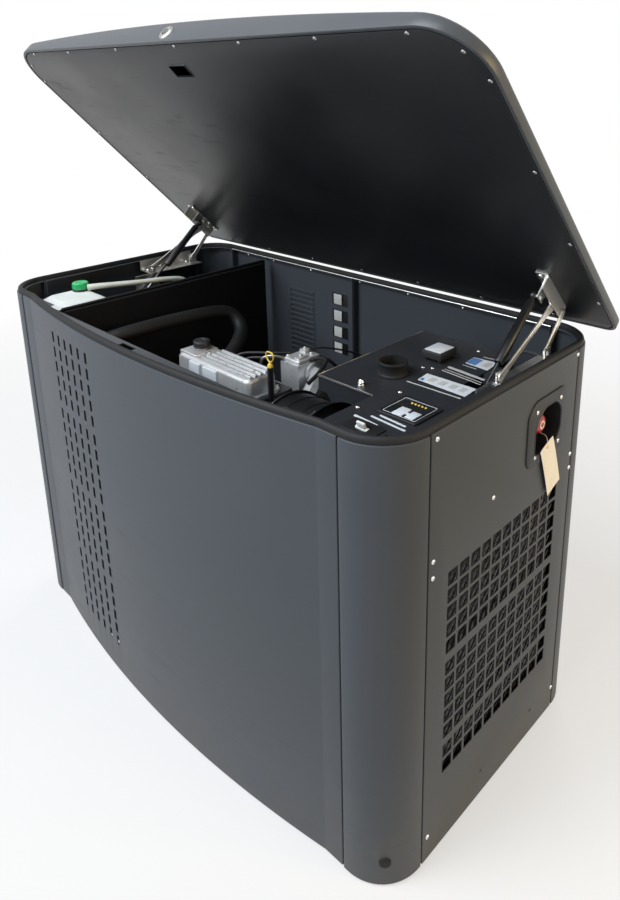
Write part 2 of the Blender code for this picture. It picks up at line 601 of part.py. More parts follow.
# ---------------------------------------------------------------- engine and alternator
def buildEngine():
    y, z = CRANK
    cradle = manyBlocks("engine_cradle", [((-0.260, y - 0.100, 0.110), (0.460, y - 0.060, 0.150)),
                                          ((-0.260, y + 0.060, 0.110), (0.460, y + 0.100, 0.150))])
    fuse(cradle, block("cradle_tie_left", (-0.220, y - 0.090, 0.115), (-0.180, y + 0.090, 0.145)),
         block("cradle_tie_right", (0.340, y - 0.090, 0.115), (0.380, y + 0.090, 0.145)))
    for x in (-0.200, 0.360):
        for side in (-0.080, 0.080):
            fuse(cradle, rod(f"cradle_mount_{x}_{side}", 0.018, (x, y + side, BASE_TOP + GAP), 0.065, "Z", 16))
    keep(cradle, "frame_paint")

    engine = block("engine_block", (ENGINE_LEFT, y - 0.085, 0.190), (ENGINE_LEFT + 0.360, y + 0.085, 0.590))
    soften(engine, 0.010)
    fuse(engine, block("engine_feet", (-0.200, y - 0.098, 0.150 + GAP), (0.100, y + 0.098, 0.200)),
         block("cylinder_head", (ENGINE_LEFT + 0.070, y - 0.065, 0.580), (ENGINE_LEFT + 0.370, y + 0.070, 0.745)),
         rod("bell_housing", 0.160, (ALTERNATOR_X - 0.040, y, z), 0.040, "X", 32))
    cut(engine, rod("crank_bore", SHAFT_R + GAP, (ENGINE_LEFT - 0.020, y, z), 0.430, "X", 20),
        rod("bell_inside", 0.135, (ALTERNATOR_X - 0.027, y, z), 0.040, "X", 32))
    keep(engine, "engine_paint")

    cover = block("valve_cover", (-0.155, y - 0.055, 0.745 + GAP), (0.125, y + 0.045, 0.800))
    soften(cover, 0.010, 2)
    fuse(cover, rod("oil_neck", 0.014, (-0.110, y, 0.795), 0.009))
    keep(cover, "cast_aluminium")
    capProfile = [(0, 0.016), (0.018, 0.016), (0.021, 0.012), (0.021, 0), (0, 0)]
    keep(turned("oil_cap", capProfile, (-0.110, y, 0.804 + GAP), steps=20), "black_plastic")

    intake = block("intake_manifold", (-0.100, y + 0.070 + GAP, 0.660), (0.110, y + 0.110, 0.720))
    fuse(intake, block("throttle_body", (0.070, y + 0.090, 0.700), (0.130, y + 0.170, 0.790)),
         rod("throttle_horn", 0.026, (0.125, 0.015, 0.762), 0.012, "X"),
         pipe("intake_elbow", [(0.120, 0.015, 0.760), (0.150, 0.012, 0.760), (0.172, -0.030, 0.742),
                               (0.184, -0.066, 0.722), (0.2050, -0.072, 0.716)], 0.020, 2))
    cut(intake, block("elbow_trim", (0.1997, -0.120, 0.660), (0.240, -0.020, 0.780)))
    keep(intake, "cast_aluminium")

    drum, band, flange = 0.118, 0.122, 0.130
    cleaner = turned("air_cleaner", [(0, 0.135), (drum, 0.135), (drum, 0.126), (flange, 0.126), (flange, 0.118),
                                     (drum, 0.118), (drum, 0.014), (band, 0.014), (band, 0.008), (drum, 0.008),
                                     (drum, 0), (0, 0)], (0.200, -0.135, 0.665), "X", 26)
    fuse(cleaner, block("cleaner_saddle", (0.230, y - 0.040, z + 0.1553), (0.300, y + 0.040, 0.580)))
    keep(cleaner, "black_paint")

    bearing = SHAFT_R + GAP
    housing = [(bearing, 0.310), (0.148, 0.310), (0.155, 0.303), (0.155, 0.006), (0.160, 0.006), (0.160, 0),
               (0.136, 0), (0.136, 0.294), (bearing, 0.294)]
    alternator = turned("alternator_housing", housing, (ALTERNATOR_X + GAP, y, z), "X", 28)
    fuse(alternator, manyBlocks("alternator_feet", [
        ((0.200, y - 0.098, 0.150 + GAP), (0.400, y - 0.062, 0.238)),
        ((0.200, y + 0.062, 0.150 + GAP), (0.400, y + 0.098, 0.238))]))
    cut(alternator, block("alternator_vent", (ALTERNATOR_X + 0.285, y - 0.012, z + 0.060),
                          (ALTERNATOR_X + 0.325, y + 0.012, z + 0.115)))
    keep(alternator, "black_paint")

    shaft = turned("crankshaft", [(0, 0.810), (SHAFT_R, 0.810), (SHAFT_R, 0.765), (0.125, 0.765),
                                  (0.125, 0.520), (SHAFT_R, 0.520), (SHAFT_R, 0.095), (0.045, 0.095),
                                  (0.045, 0.065), (SHAFT_R, 0.065), (SHAFT_R, 0), (0, 0)],
                   (-0.340 + GAP, y, z), "X", 20)
    keep(shaft, "steel")

    starter = rod("starter_motor", 0.038, (-0.060, y + 0.085 + GAP + 0.038, 0.300), 0.165, "X", 20)
    fuse(starter, rod("starter_solenoid", 0.020, (-0.030, y + 0.135, 0.345), 0.110, "X", 16))
    keep(starter, "black_paint")
    oilFilter = turned("oil_filter", [(0, 0.085), (0.034, 0.085), (0.038, 0.080), (0.038, 0.006), (0.030, 0),
                                      (0, 0)], (-0.120, y - 0.085 - GAP, 0.330), "Y", 20)
    oilFilter.rotation_euler = (math.pi / 2, 0, 0)
    keep(oilFilter, "filter_paint")

    tubeProfile = [(0.0070, 0.300), (0.0070, 0), (0.0045, 0), (0.0045, 0.300)]
    tube = turned("dipstick_tube", tubeProfile, (0.1400, y, z + 0.160 + GAP), steps=12)
    keep(tube, "steel")
    stickTop = z + 0.160 + 0.300
    stick = rod("dipstick", 0.0025, (0.1400, y, z + 0.175), 0.290, "Z", 8)
    ring = plate("dipstick_ring", [circle((y, stickTop + 0.024), 0.0125, 20), circle((y, stickTop + 0.024), 0.0085, 20)],
                 0.1385, 0.1415, "X")
    fuse(stick, rod("dipstick_stop", 0.0075, (0.1400, y, stickTop + GAP + 0.0004), 0.0125, "Z", 12), ring)
    keep(stick, "yellow_plastic")


def buildExhaustAndBattery():
    (drumY, drumZ), drumX = MUFFLER, -0.290
    muffler = turned("muffler", [(0, 0.520), (0.070, 0.520), (0.080, 0.510), (0.080, 0.010), (0.070, 0), (0, 0)],
                     (drumX, drumY, drumZ), "X", 20)
    y, tail = CRANK[0], 0.005 - HALF_LEN
    fuse(muffler, *[block(f"muffler_saddle_{x}", (x, drumY - 0.037, FLOOR_TOP + GAP),
                          (x + 0.006, drumY + 0.037, drumZ - 0.038)) for x in (-0.230, 0.164)],
         rod("tail_pipe", 0.022, (tail, drumY, drumZ), drumX + 0.015 - tail, "X", 16),
         pipe("exhaust_pipe", [(-0.020, y + 0.085, 0.625), (-0.020, 0.110, 0.625), (-0.020, drumY - 0.025, 0.605),
                               (-0.020, drumY + 0.001, 0.550), (-0.020, drumY + 0.001, drumZ + 0.045)], 0.024, 2),
         block("exhaust_flange", (-0.120, y + 0.070 + GAP, 0.595), (0.080, y + 0.100, 0.655)))
    keep(muffler, "heat_steel")
    left = BULKHEAD_X + 0.022
    battery = block("battery", (left, -0.270, FLOOR_TOP + GAP), (left + 0.108, -0.060, 0.200))
    soften(battery, 0.004)
    fuse(battery, rod("battery_post_front", 0.009, (left + 0.054, -0.240, 0.195), 0.022, "Z", 12),
         rod("battery_post_rear", 0.009, (left + 0.054, -0.090, 0.195), 0.022, "Z", 12))
    keep(battery, "black_plastic")


# ---------------------------------------------------------------- lid and hinges
def lidWorld(s, h):
    """(y, z) of a lid point with the lid open."""
    return (LID_REAR[0] - s * math.cos(LID_OPEN) + h * math.sin(LID_OPEN),
            LID_REAR[1] + s * math.sin(LID_OPEN) + h * math.cos(LID_OPEN))


def lidLoop(inset):
    """Lid outline in lid coordinates (x, y), front towards -y, moved inward by the inset."""
    half, depth, frontR, rearR = LID_HALF, LID_DEPTH, 0.105, 0.030
    return (arc((half - frontR, -depth + frontR), frontR - inset, -90, 0, 8)
            + arc((half - rearR, -rearR), rearR - inset, 0, 90, 4)
            + arc((-half + rearR, -rearR), rearR - inset, 90, 180, 4)
            + arc((-half + frontR, -depth + frontR), frontR - inset, 180, 270, 8))


def crownTool(name, drop):
    """Prism under the arched lid top, lowered by the drop."""
    count = 20
    top = []
    for i in range(count + 1):
        x = (LID_HALF + 0.010) * (1 - 2 * i / count)
        top.append((x, LID_CROWN - LID_FALL * x * x - drop))
    outline = [(-LID_HALF - 0.010, -0.020), (LID_HALF + 0.010, -0.020)] + top
    return plate(name, [outline], -LID_DEPTH - 0.020, 0.020, "Y")


def buildLid(pivot):
    shift = Vector((0, LID_D[0], -LID_D[1]))

    def hang(*tools):
        for tool in tools:
            tool.location = Vector(tool.location) + shift
            tool.parent = pivot

    shell = plate("lid_shell", [lidLoop(0)], 0, LID_CROWN + 0.004)
    crown = crownTool("lid_crown", 0)
    hollow = plate("lid_hollow", [lidLoop(SHEET)], -0.010, LID_CROWN)
    crownIn = crownTool("lid_crown_inner", SHEET)
    combine(hollow, crownIn, "INTERSECT")
    combine(shell, crown, "INTERSECT")
    barrel = rod("lock_barrel_hole", LOCK_R + GAP, (LOCK_X, -LID_DEPTH - 0.010, LOCK_H), 0.020, "Y", 20)
    cut(shell, hollow, barrel)
    hang(shell, crown, hollow, crownIn, barrel)
    keep(shell, "panel_paint")

    liner = plate("lid_liner", [lidLoop(SHEET + GAP)], 0.0005, 0.0045)
    camY = 0.0735 - LID_DEPTH
    opening = block("liner_opening", (LOCK_X - 0.045, camY - 0.0105, -0.010), (LOCK_X + 0.010, camY + 0.0195, 0.010))
    cut(liner, opening)
    hang(liner, opening)
    keep(liner, "black_liner")

    front = -LID_DEPTH
    body = turned("lock_body", [(0.0080, 0.0045), (0.0150, 0.0030), (0.0170, 0), (LOCK_R, 0), (LOCK_R, -0.0640),
                                (0.0080, -0.0640)], (LOCK_X, front - GAP, LOCK_H), "Y", 18)
    body.rotation_euler = (math.pi / 2, 0, 0)
    foot = block("lock_foot", (LOCK_X - 0.012, front + 0.020, 0.0045 + GAP),
                 (LOCK_X + 0.012, front + 0.050, LOCK_H - LOCK_R + 0.002))
    fuse(body, foot)
    hang(body, foot)
    keep(body, "bright_metal")

    cylinder = rod("lock_cylinder", 0.0077, (LOCK_X, front - 0.0030, LOCK_H), 0.0800, "Y", 20)
    cam = block("lock_cam", (LOCK_X - 0.0410, camY, LOCK_H - 0.006), (LOCK_X + 0.0060, camY + 0.0030, LOCK_H + 0.006))
    fuse(cylinder, cam)
    hang(cylinder, cam)
    keep(cylinder, "bright_metal")


def armOutline(start, end, r0, r1, bulge):
    """Round-ended link outline from start to end with its middle thinned."""
    direction = math.degrees(math.atan2(end[1] - start[1], end[0] - start[0]))
    loop = arc(end, r1, direction - 90, direction + 90, 8) + arc(start, r0, direction + 90, direction + 270, 8)
    normal = math.radians(direction + 90)
    mid = ((start[0] + end[0]) / 2, (start[1] + end[1]) / 2)
    upper = (mid[0] + bulge * math.cos(normal), mid[1] + bulge * math.sin(normal))
    lower = (mid[0] - bulge * math.cos(normal), mid[1] - bulge * math.sin(normal))
    return loop[:9] + [upper] + loop[9:] + [lower]


def buildHinge(tag, side, pivot):
    """Four-bar lid hinge and gas strut; side is +1 at the control end, -1 at the other."""
    bore = PIN_R + GAP
    pointC, pointD, pointS = lidWorld(*LID_C), lidWorld(*LID_D), lidWorld(*LID_S)

    def span(a, b):
        return sorted((side * (HINGE_X + a), side * (HINGE_X + b)))

    def bar(name, x0, x1, y0, y1, z0, z1):
        (lowX, highX) = span(x0, x1)
        return block(f"{name}_{tag}", (lowX, y0, z0), (highX, y1, z1))

    def pin(name, x0, x1, at):
        (lowX, highX) = span(x0, x1)
        return rod(f"{name}_{tag}", PIN_R, (lowX, *at), highX - lowX, "X", 16)

    # thin plates side by side, each (inner, outer) from the bracket's inner face
    plateT, foot, wall = 0.003, DECK_TOP + GAP, SIDE_IN - GAP - HINGE_X
    earA, armA, lidEar, armB, earB = 0.0095, 0.0130, 0.0175, 0.0210, 0.0255
    armT, sole, pinG = 0.004, foot + 0.0022, (-0.0160, 0.0010)
    (ay, az), (by, bz), (gy, gz) = PIVOT_A, PIVOT_B, PIVOT_G
    back, front = by + 0.0141, ay - 0.0125
    base = bar("hinge_base", 0, wall, front, back, foot, sole)
    fuse(base,
         bar("base_ear_front", earA, earA + plateT, ay - 0.0105, ay + 0.0105, foot, az + 0.0104),
         bar("base_ear_rear", earB, earB + plateT, by - 0.0119, by + 0.0121, foot, bz + 0.0104),
         bar("base_leg", wall - 0.002, wall, front, back, foot, PANEL_TOP - GAP),
         bar("base_lug", 0, plateT, gy - 0.0145, ay + 0.0125, gz - 0.0130, sole),
         pin("base_pin_a", earA + 0.002, lidEar, PIVOT_A),
         pin("base_pin_b", armB - 0.0005, earB + 0.001, PIVOT_B),
         pin("base_pin_g", *pinG, PIVOT_G))
    keep(base, "zinc")

    bracket = [bar("lid_bracket", -0.0060, lidEar + plateT, -LID_S[0] - 0.047, -LID_D[0] + 0.0080, -0.0025, 0.0002),
               bar("lid_ear", lidEar, lidEar + plateT, -LID_S[0] - 0.040, -LID_D[0] + 0.0080, -0.0320, -0.0005),
               bar("lid_strut_ear", 0, plateT, -LID_S[0] - 0.013, -LID_S[0] + 0.013, LID_S[1] - 0.008, -0.0005),
               pin("lid_pin_c", armA - 0.0005, lidEar + 0.001, (-LID_C[0], LID_C[1])),
               pin("lid_pin_d", lidEar + 0.002, earB, (-LID_D[0], LID_D[1])),
               pin("lid_pin_s", *pinG, (-LID_S[0], LID_S[1]))]
    for piece in bracket:
        piece.location = Vector(piece.location) + Vector((0, LID_D[0], -LID_D[1]))
        piece.parent = pivot
    keep(fuse(*bracket), "zinc")

    endR, openEndR, waist, openBore = 0.009, 0.012, 0.0065, bore + 0.0035
    loops = [armOutline(PIVOT_A, pointC, endR, openEndR, waist), circle(PIVOT_A, bore, 16),
             circle(pointC, openBore, 16)]
    keep(plate(f"front_arm_{tag}", loops, *span(armA, armA + armT), "X", PIVOT_A), "zinc")
    loops = [armOutline(PIVOT_B, pointD, endR, 0.0065, 0.0060), circle(PIVOT_B, bore, 16), circle(pointD, bore, 16)]
    keep(plate(f"rear_arm_{tag}", loops, *span(armB, armB + armT), "X", PIVOT_B), "zinc")

    middle, length = side * (HINGE_X - 0.0130), math.dist(pointS, PIVOT_G)
    lean = math.atan2(pointS[1] - gz, pointS[0] - gy) + STRUT_LEAN
    eyeHalf, neck = 0.0050, 0.0065

    def strutPart(name, profile, pivotAt):
        """Rod or tube along the strut line with a pierced eye at its pivot."""
        piece = turned(f"{name}_{tag}", profile, (middle, *pivotAt), "Z", 18)
        piece.rotation_euler = (lean - math.pi / 2, 0, 0)
        fuse(piece, rod(f"{name}_eye_{tag}", endR, (middle - eyeHalf, *pivotAt), 2 * eyeHalf, "X", 20))
        return cut(piece, rod(f"{name}_bore_{tag}", bore, (middle - 0.020, *pivotAt), 0.040, "X", 16))

    rodR, tubeR, tubeBore, tubeLen, overlap = 0.0035, 0.0100, 0.0086, 0.165, 0.056
    keep(strutPart("strut_rod", [(0, length - overlap), (rodR, length - overlap), (rodR, neck), (0, neck)],
                   PIVOT_G), "dark_chrome")
    keep(strutPart("strut_tube", [(0, -neck), (tubeR, -neck), (tubeR, -tubeLen), (tubeBore, -tubeLen),
                                  (tubeBore, -neck - 0.004), (0, -neck - 0.004)], pointS), "black_paint")


def main():
    material("panel_paint", (0.075, 0.083, 0.092), 0.45, 0.0)
    material("frame_paint", (0.030, 0.031, 0.033), 0.55, 0.0)
    material("deck_paint", (0.035, 0.037, 0.041), 0.50, 0.0)
    material("black_liner", (0.018, 0.018, 0.019), 0.55, 0.0)
    material("black_paint", (0.020, 0.020, 0.021), 0.40, 0.0)
    material("black_plastic", (0.018, 0.018, 0.018), 0.50, 0.0)
    material("white_plastic", (0.80, 0.80, 0.78), 0.45, 0.0)
    material("green_plastic", (0.03, 0.50, 0.16), 0.40, 0.0)
    material("red_plastic", (0.55, 0.03, 0.02), 0.35, 0.0)
    material("yellow_plastic", (0.75, 0.55, 0.05), 0.45, 0.0)
    material("clear_hose", (0.72, 0.72, 0.68), 0.35, 0.0)
    material("rubber", (0.015, 0.015, 0.015), 0.60, 0.0)
    material("tag_paper", (0.75, 0.72, 0.62), 0.80, 0.0)
    material("bright_metal", (0.62, 0.62, 0.60), 0.30, 1.0)
    material("steel", (0.42, 0.42, 0.42), 0.35, 1.0)
    material("dark_chrome", (0.20, 0.20, 0.21), 0.25, 1.0)
    material("zinc", (0.60, 0.59, 0.54), 0.38, 1.0)
    material("cast_aluminium", (0.60, 0.61, 0.62), 0.42, 1.0)
    material("engine_paint", (0.055, 0.057, 0.060), 0.50, 0.0)
    material("heat_steel", (0.22, 0.20, 0.18), 0.55, 1.0)
    material("filter_paint", (0.60, 0.60, 0.58), 0.40, 0.0)

    buildBase()
    buildPost("post_front_left", -1, 1)
    buildPost("post_front_right", 1, 1)
    buildPost("post_rear_left", -1, -1)
    buildPost("post_rear_right", 1, -1)
    buildFrontPanel()
    buildRearPanels()
    buildEndPanels()
    buildSeal()
    buildPartition()
    buildDeck()
    buildControls()
    buildEmergencyStop()
    buildCooling()
    buildEngine()
    buildExhaustAndBattery()
    lidPivot = empty("lid_pivot", (0, *lidWorld(*LID_D)), (-LID_OPEN, 0, 0))
    buildLid(lidPivot)
    buildHinge("right", 1, lidPivot)
    buildHinge("left", -1, lidPivot)


main()
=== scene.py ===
# Home standby generator: finishes and fine shapes on the model. Metres, +Z up, front to -Y.
import math

import bmesh
import bpy
from mathutils import Matrix, Vector


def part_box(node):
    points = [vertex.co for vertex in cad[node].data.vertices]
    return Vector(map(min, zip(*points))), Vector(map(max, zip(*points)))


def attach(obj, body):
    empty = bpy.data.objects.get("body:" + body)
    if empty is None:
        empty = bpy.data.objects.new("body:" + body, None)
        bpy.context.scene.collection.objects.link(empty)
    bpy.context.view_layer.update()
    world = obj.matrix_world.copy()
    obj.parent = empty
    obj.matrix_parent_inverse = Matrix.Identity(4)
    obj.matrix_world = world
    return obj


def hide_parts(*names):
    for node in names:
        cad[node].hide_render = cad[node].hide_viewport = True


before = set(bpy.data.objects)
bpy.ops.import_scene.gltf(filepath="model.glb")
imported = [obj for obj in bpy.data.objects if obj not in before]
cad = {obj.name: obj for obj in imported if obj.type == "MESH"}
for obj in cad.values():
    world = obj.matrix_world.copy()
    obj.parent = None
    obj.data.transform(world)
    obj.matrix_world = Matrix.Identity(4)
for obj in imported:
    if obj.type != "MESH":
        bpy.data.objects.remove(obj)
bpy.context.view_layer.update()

main = "enclosure"

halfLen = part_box("right_panel")[1].x
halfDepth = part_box("rear_panel_left")[1].y
panelBase, panelTop = (corner.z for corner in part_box("front_panel"))
bowDepth = -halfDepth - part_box("front_panel")[0].y
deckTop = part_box("control_deck")[1].z
sheet = 0.002
fold = 0.02        # folded edge of every panel
cornerR = 0.0965    # corner posts
seam = 0.003
seamX = halfLen - cornerR - 0.0095
seamY = halfDepth - cornerR - 0.0045
bowHalf = seamX - 0.046
sideIn = halfLen - fold
rearIn = halfDepth - fold


# ---- node trees as Python expressions
class Wire:
    def __init__(self, tree, socket):
        self.tree, self.socket = tree, socket

    def math(self, operation, other=None, swap=False, clamp=False):
        pair = {0: self} if other is None else ({0: other, 1: self} if swap
            else {0: self, 1: other})
        return make(self.tree, "ShaderNodeMath", {"operation": operation, "use_clamp": clamp}, pair)

    def __add__(self, other):
        return self.math("ADD", other)

    def __sub__(self, other):
        return self.math("SUBTRACT", other)

    def __mul__(self, other):
        return self.math("MULTIPLY", other)

    def __rsub__(self, other):
        return self.math("SUBTRACT", other, swap=True)

    def __pow__(self, other):
        return self.math("POWER", other)

    def __abs__(self):
        return self.math("ABSOLUTE")

    __radd__, __rmul__ = __add__, __mul__

    def between(self, low, high):    # 0 at low, 1 at high
        return (self - low).math("DIVIDE", high - low, clamp=True)


def make(tree, kind, settings=None, inputs=None, out=0):
    node = tree.nodes.new(kind)
    for key, value in (settings or {}).items():
        setattr(node, key, value)
    for key, value in (inputs or {}).items():
        if isinstance(value, Wire):
            tree.links.new(value.socket, node.inputs[key])
        else:
            node.inputs[key].default_value = value
    return Wire(tree, node.outputs[out])


def mixColor(tree, factor, first, second):
    first, second = [c if isinstance(c, Wire) else (*c, 1) for c in (first, second)]
    return make(tree, "ShaderNodeMix", {"data_type": "RGBA"}, {0: factor, 6: first, 7: second}, 2)


def noise(tree, coords, scale, detail=3, stretch=None):
    if stretch:
        coords = make(tree, "ShaderNodeMapping", {}, {"Vector": coords, "Scale": stretch})
    return make(tree, "ShaderNodeTexNoise", {}, {"Vector": coords, "Scale": scale,
        "Detail": detail})


dustColor = (0.16, 0.14, 0.12)


def finish(name, spec):    # one procedural material from a dictionary of its traits
    mat = bpy.data.materials.new(name)
    mat.use_nodes = True
    tree = mat.node_tree
    shader = tree.nodes["Principled BSDF"]
    coords = make(tree, "ShaderNodeTexCoord", out=3)
    broad = noise(tree, coords, spec.get("patch", 6)).between(0.35, 0.65)
    fine = noise(tree, coords, spec.get("grain", 400), 4, spec.get("stretch"))
    color = mixColor(tree, broad * spec.get("spread", 0.5), spec["color"], spec["tint"])
    rough = spec["rough"] + (fine - 0.5) * spec.get("roughSpread", 0.15) + (broad - 0.5) * 0.06
    if "specks" in spec:    # small flakes, stains or spangle of a third colour
        cells = make(tree, "ShaderNodeTexVoronoi", {}, {"Vector": coords,
            "Scale": spec["speckScale"]})
        flake = (1 - cells.between(spec.get("speckLow", 0.12),
            spec.get("speckHigh", 0.3))) * spec["speckMix"]
        color = mixColor(tree, flake * broad, color, spec["specks"])
        rough = rough + flake * 0.1
    if "dust" in spec:    # settles low down and lies unevenly
        height = make(tree, "ShaderNodeSeparateXYZ", {}, {0: coords}, 2)
        low = (1 - height.between(0.0, spec["dustTop"])) ** 2.0
        lying = noise(tree, coords, 14, 5).between(0.4, 0.8)
        grime = low * (0.35 + lying) * spec["dust"]
        color = mixColor(tree, grime, color, dustColor)
        rough = rough + grime * 0.35
    if "scuff" in spec:    # fine wiping marks
        marks = noise(tree, coords, 9, 8, (1.0, 1.0, 9.0)).between(0.6, 0.72)
        rough = rough + marks * spec["scuff"]
    tree.links.new(color.socket, shader.inputs["Base Color"])
    tree.links.new(rough.math("MAXIMUM", 0.04).socket, shader.inputs["Roughness"])
    shader.inputs["Metallic"].default_value = spec.get("metal", 0.0)
    shader.inputs["Specular IOR Level"].default_value = spec.get("specular", 0.5)
    if "coat" in spec:
        shader.inputs["Coat Weight"].default_value = spec["coat"]
        shader.inputs["Coat Roughness"].default_value = spec.get("coatRough", 0.15)
    if "clear" in spec:
        shader.inputs["Subsurface Weight"].default_value = spec["clear"]
        shader.inputs["Subsurface Radius"].default_value = (0.01, 0.01, 0.008)
    bump = make(tree, "ShaderNodeBump", {}, {"Strength": spec.get("bump", 0.3),
        "Distance": spec.get("relief", 0.0003), "Height": fine})
    tree.links.new(bump.socket, shader.inputs["Normal"])
    return mat


finishes = {
    "panelPaint": dict(slot="panel_paint", color=(0.056, 0.063, 0.073), tint=(0.065, 0.072, 0.083),
        rough=0.42, grain=900, bump=0.3, relief=0.00012, dust=0.4, dustTop=0.3, scuff=0.05, patch=3,
        specular=0.22),
    "lidPaint": dict(slot="panel_paint", color=(0.064, 0.071, 0.08), tint=(0.075, 0.082, 0.09),
        rough=0.36, grain=900, bump=0.3, relief=0.00012, scuff=0.07, patch=4, specular=0.4),
    "framePaint": dict(slot="frame_paint", color=(0.022, 0.023, 0.025), tint=(0.034, 0.034, 0.034),
        rough=0.55, grain=500, dust=0.8, dustTop=0.2),
    "deckPaint": dict(color=(0.022, 0.024, 0.028), tint=(0.03, 0.032, 0.037), rough=0.4, grain=900,
        relief=0.0001, scuff=0.06, coat=0.1),
    "linerPaint": dict(slot="black_liner", color=(0.012, 0.013, 0.015), tint=(0.017, 0.018, 0.021),
        rough=0.36, grain=700, bump=0.2, relief=0.0001, scuff=0.08, patch=5, specular=0.35),
    "foam": dict(slot="black_liner", color=(0.005, 0.005, 0.006), tint=(0.009, 0.009, 0.01),
        rough=0.9, specular=0.2, grain=260, bump=0.8, relief=0.0012),
    "blackPaint": dict(slot="black_paint", color=(0.01, 0.01, 0.011), tint=(0.018, 0.018, 0.019),
        rough=0.33, grain=300, relief=0.0002),
    "blackPlastic": dict(slot="black_plastic", color=(0.01, 0.01, 0.011),
        tint=(0.016, 0.016, 0.017), rough=0.48, grain=1200, bump=0.5, relief=0.0002),
    "whitePlastic": dict(slot="white_plastic", color=(0.78, 0.8, 0.78), tint=(0.7, 0.71, 0.66),
        rough=0.4, grain=300, clear=0.15, patch=20),
    "greenPlastic": dict(slot="green_plastic", color=(0.02, 0.42, 0.13), tint=(0.03, 0.5, 0.17),
        rough=0.38, grain=600, patch=40),
    "redPlastic": dict(slot="red_plastic", color=(0.42, 0.018, 0.014), tint=(0.34, 0.014, 0.01),
        rough=0.28, grain=500, patch=40, coat=0.4),
    "yellowPlastic": dict(slot="yellow_plastic", color=(0.8, 0.58, 0.08), tint=(0.62, 0.43, 0.05),
        rough=0.4, grain=500, patch=60),
    "clearHose": dict(slot="clear_hose", color=(0.66, 0.68, 0.62), tint=(0.5, 0.5, 0.42), rough=0.3,
        grain=300, clear=0.3, patch=25),
    "rubber": dict(slot="rubber", color=(0.007, 0.007, 0.007), tint=(0.011, 0.011, 0.011),
        rough=0.62, specular=0.3, grain=700, bump=0.5, relief=0.0002, specks=(0.05, 0.05, 0.045),
        speckScale=160, speckMix=0.25),
    "sealRubber": dict(slot="rubber", color=(0.009, 0.009, 0.01), tint=(0.014, 0.014, 0.015),
        rough=0.62, grain=700, specular=0.3, relief=0.00015),
    "card": dict(slot="tag_paper", color=(0.9, 0.9, 0.88), tint=(0.84, 0.83, 0.79), rough=0.85,
        grain=500, bump=0.4, relief=0.0002, patch=30, specks=(0.55, 0.48, 0.36), speckScale=300,
        speckMix=0.3),
    "chrome": dict(slot="bright_metal", color=(0.78, 0.78, 0.77), tint=(0.66, 0.66, 0.64),
        rough=0.16, metal=1.0, grain=400, bump=0.1, patch=60),
    "steel": dict(slot="steel", color=(0.42, 0.42, 0.41), tint=(0.32, 0.32, 0.31), rough=0.34,
        metal=1.0, grain=120, stretch=(1, 14, 14), bump=0.15),
    "darkChrome": dict(slot="dark_chrome", color=(0.22, 0.22, 0.23), tint=(0.16, 0.16, 0.17),
        rough=0.16, metal=1.0, grain=300, bump=0.05),
    "zinc": dict(slot="zinc", color=(0.8, 0.79, 0.75), tint=(0.68, 0.66, 0.6), rough=0.36,
        metal=1.0, grain=260, patch=40, specks=(0.42, 0.37, 0.27), speckScale=90, speckMix=0.15,
        bump=0.05, relief=0.0001),
    "castAluminium": dict(slot="cast_aluminium", color=(0.62, 0.63, 0.64), tint=(0.48, 0.48, 0.48),
        rough=0.38, metal=0.55, grain=240, bump=0.6, relief=0.0005, patch=30,
        specks=(0.16, 0.14, 0.11), speckScale=60, speckMix=0.5),
    "enginePaint": dict(color=(0.024, 0.025, 0.027), tint=(0.045, 0.043, 0.04), rough=0.45,
        grain=180, bump=0.7, relief=0.0006, patch=14, specks=(0.09, 0.08, 0.06), speckScale=40,
        speckMix=0.4),
    "heatSteel": dict(color=(0.26, 0.22, 0.18), tint=(0.12, 0.09, 0.09), rough=0.5, metal=1.0,
        grain=160, patch=16, spread=1.0, bump=0.4, relief=0.0004),
    "filterPaint": dict(slot="filter_paint", color=(0.6, 0.6, 0.57), tint=(0.5, 0.5, 0.47),
        rough=0.35, grain=500, patch=30, coat=0.3),
    "platePale": dict(slot="white_plastic", color=(0.72, 0.76, 0.8), tint=(0.62, 0.67, 0.72),
        rough=0.45, grain=600, patch=50),
    "plateBlue": dict(slot="white_plastic", color=(0.1, 0.22, 0.5), tint=(0.13, 0.27, 0.56),
        rough=0.45, grain=600, patch=50),
    "plateDark": dict(slot="black_plastic", color=(0.015, 0.016, 0.018), tint=(0.028, 0.03, 0.034),
        rough=0.22, grain=600, patch=50),
    "brass": dict(slot="bright_metal", color=(0.62, 0.46, 0.2), tint=(0.48, 0.33, 0.12), rough=0.3,
        metal=1.0, grain=300, patch=60),
}
finishMade = {}


def mat(name):
    if name not in finishMade:
        finishMade[name] = finish(name, finishes[name])
    return finishMade[name]


# ---- mesh helpers
def heights(node):
    low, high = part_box(node)
    return low.z, high.z


def addMesh(name, bm, frameMatrix=None):
    mesh = bpy.data.meshes.new(name)
    if frameMatrix:
        bmesh.ops.transform(bm, matrix=frameMatrix, verts=bm.verts)
    bmesh.ops.remove_doubles(bm, verts=bm.verts, dist=1e-6)
    bmesh.ops.recalc_face_normals(bm, faces=bm.faces)
    bm.to_mesh(mesh)
    bm.free()
    obj = bpy.data.objects.new(name, mesh)
    bpy.context.scene.collection.objects.link(obj)
    return obj


def roundEdges(bm, width, segments=2, angle=32):
    bmesh.ops.remove_doubles(bm, verts=bm.verts, dist=1e-6)
    bmesh.ops.recalc_face_normals(bm, faces=bm.faces)
    sharp = [e for e in bm.edges if len(e.link_faces) == 2
        and e.calc_face_angle(0) > math.radians(angle)]
    if width and sharp:
        bmesh.ops.bevel(bm, geom=sharp, offset=width, segments=segments, profile=0.5,
            affect="EDGES", clamp_overlap=True)


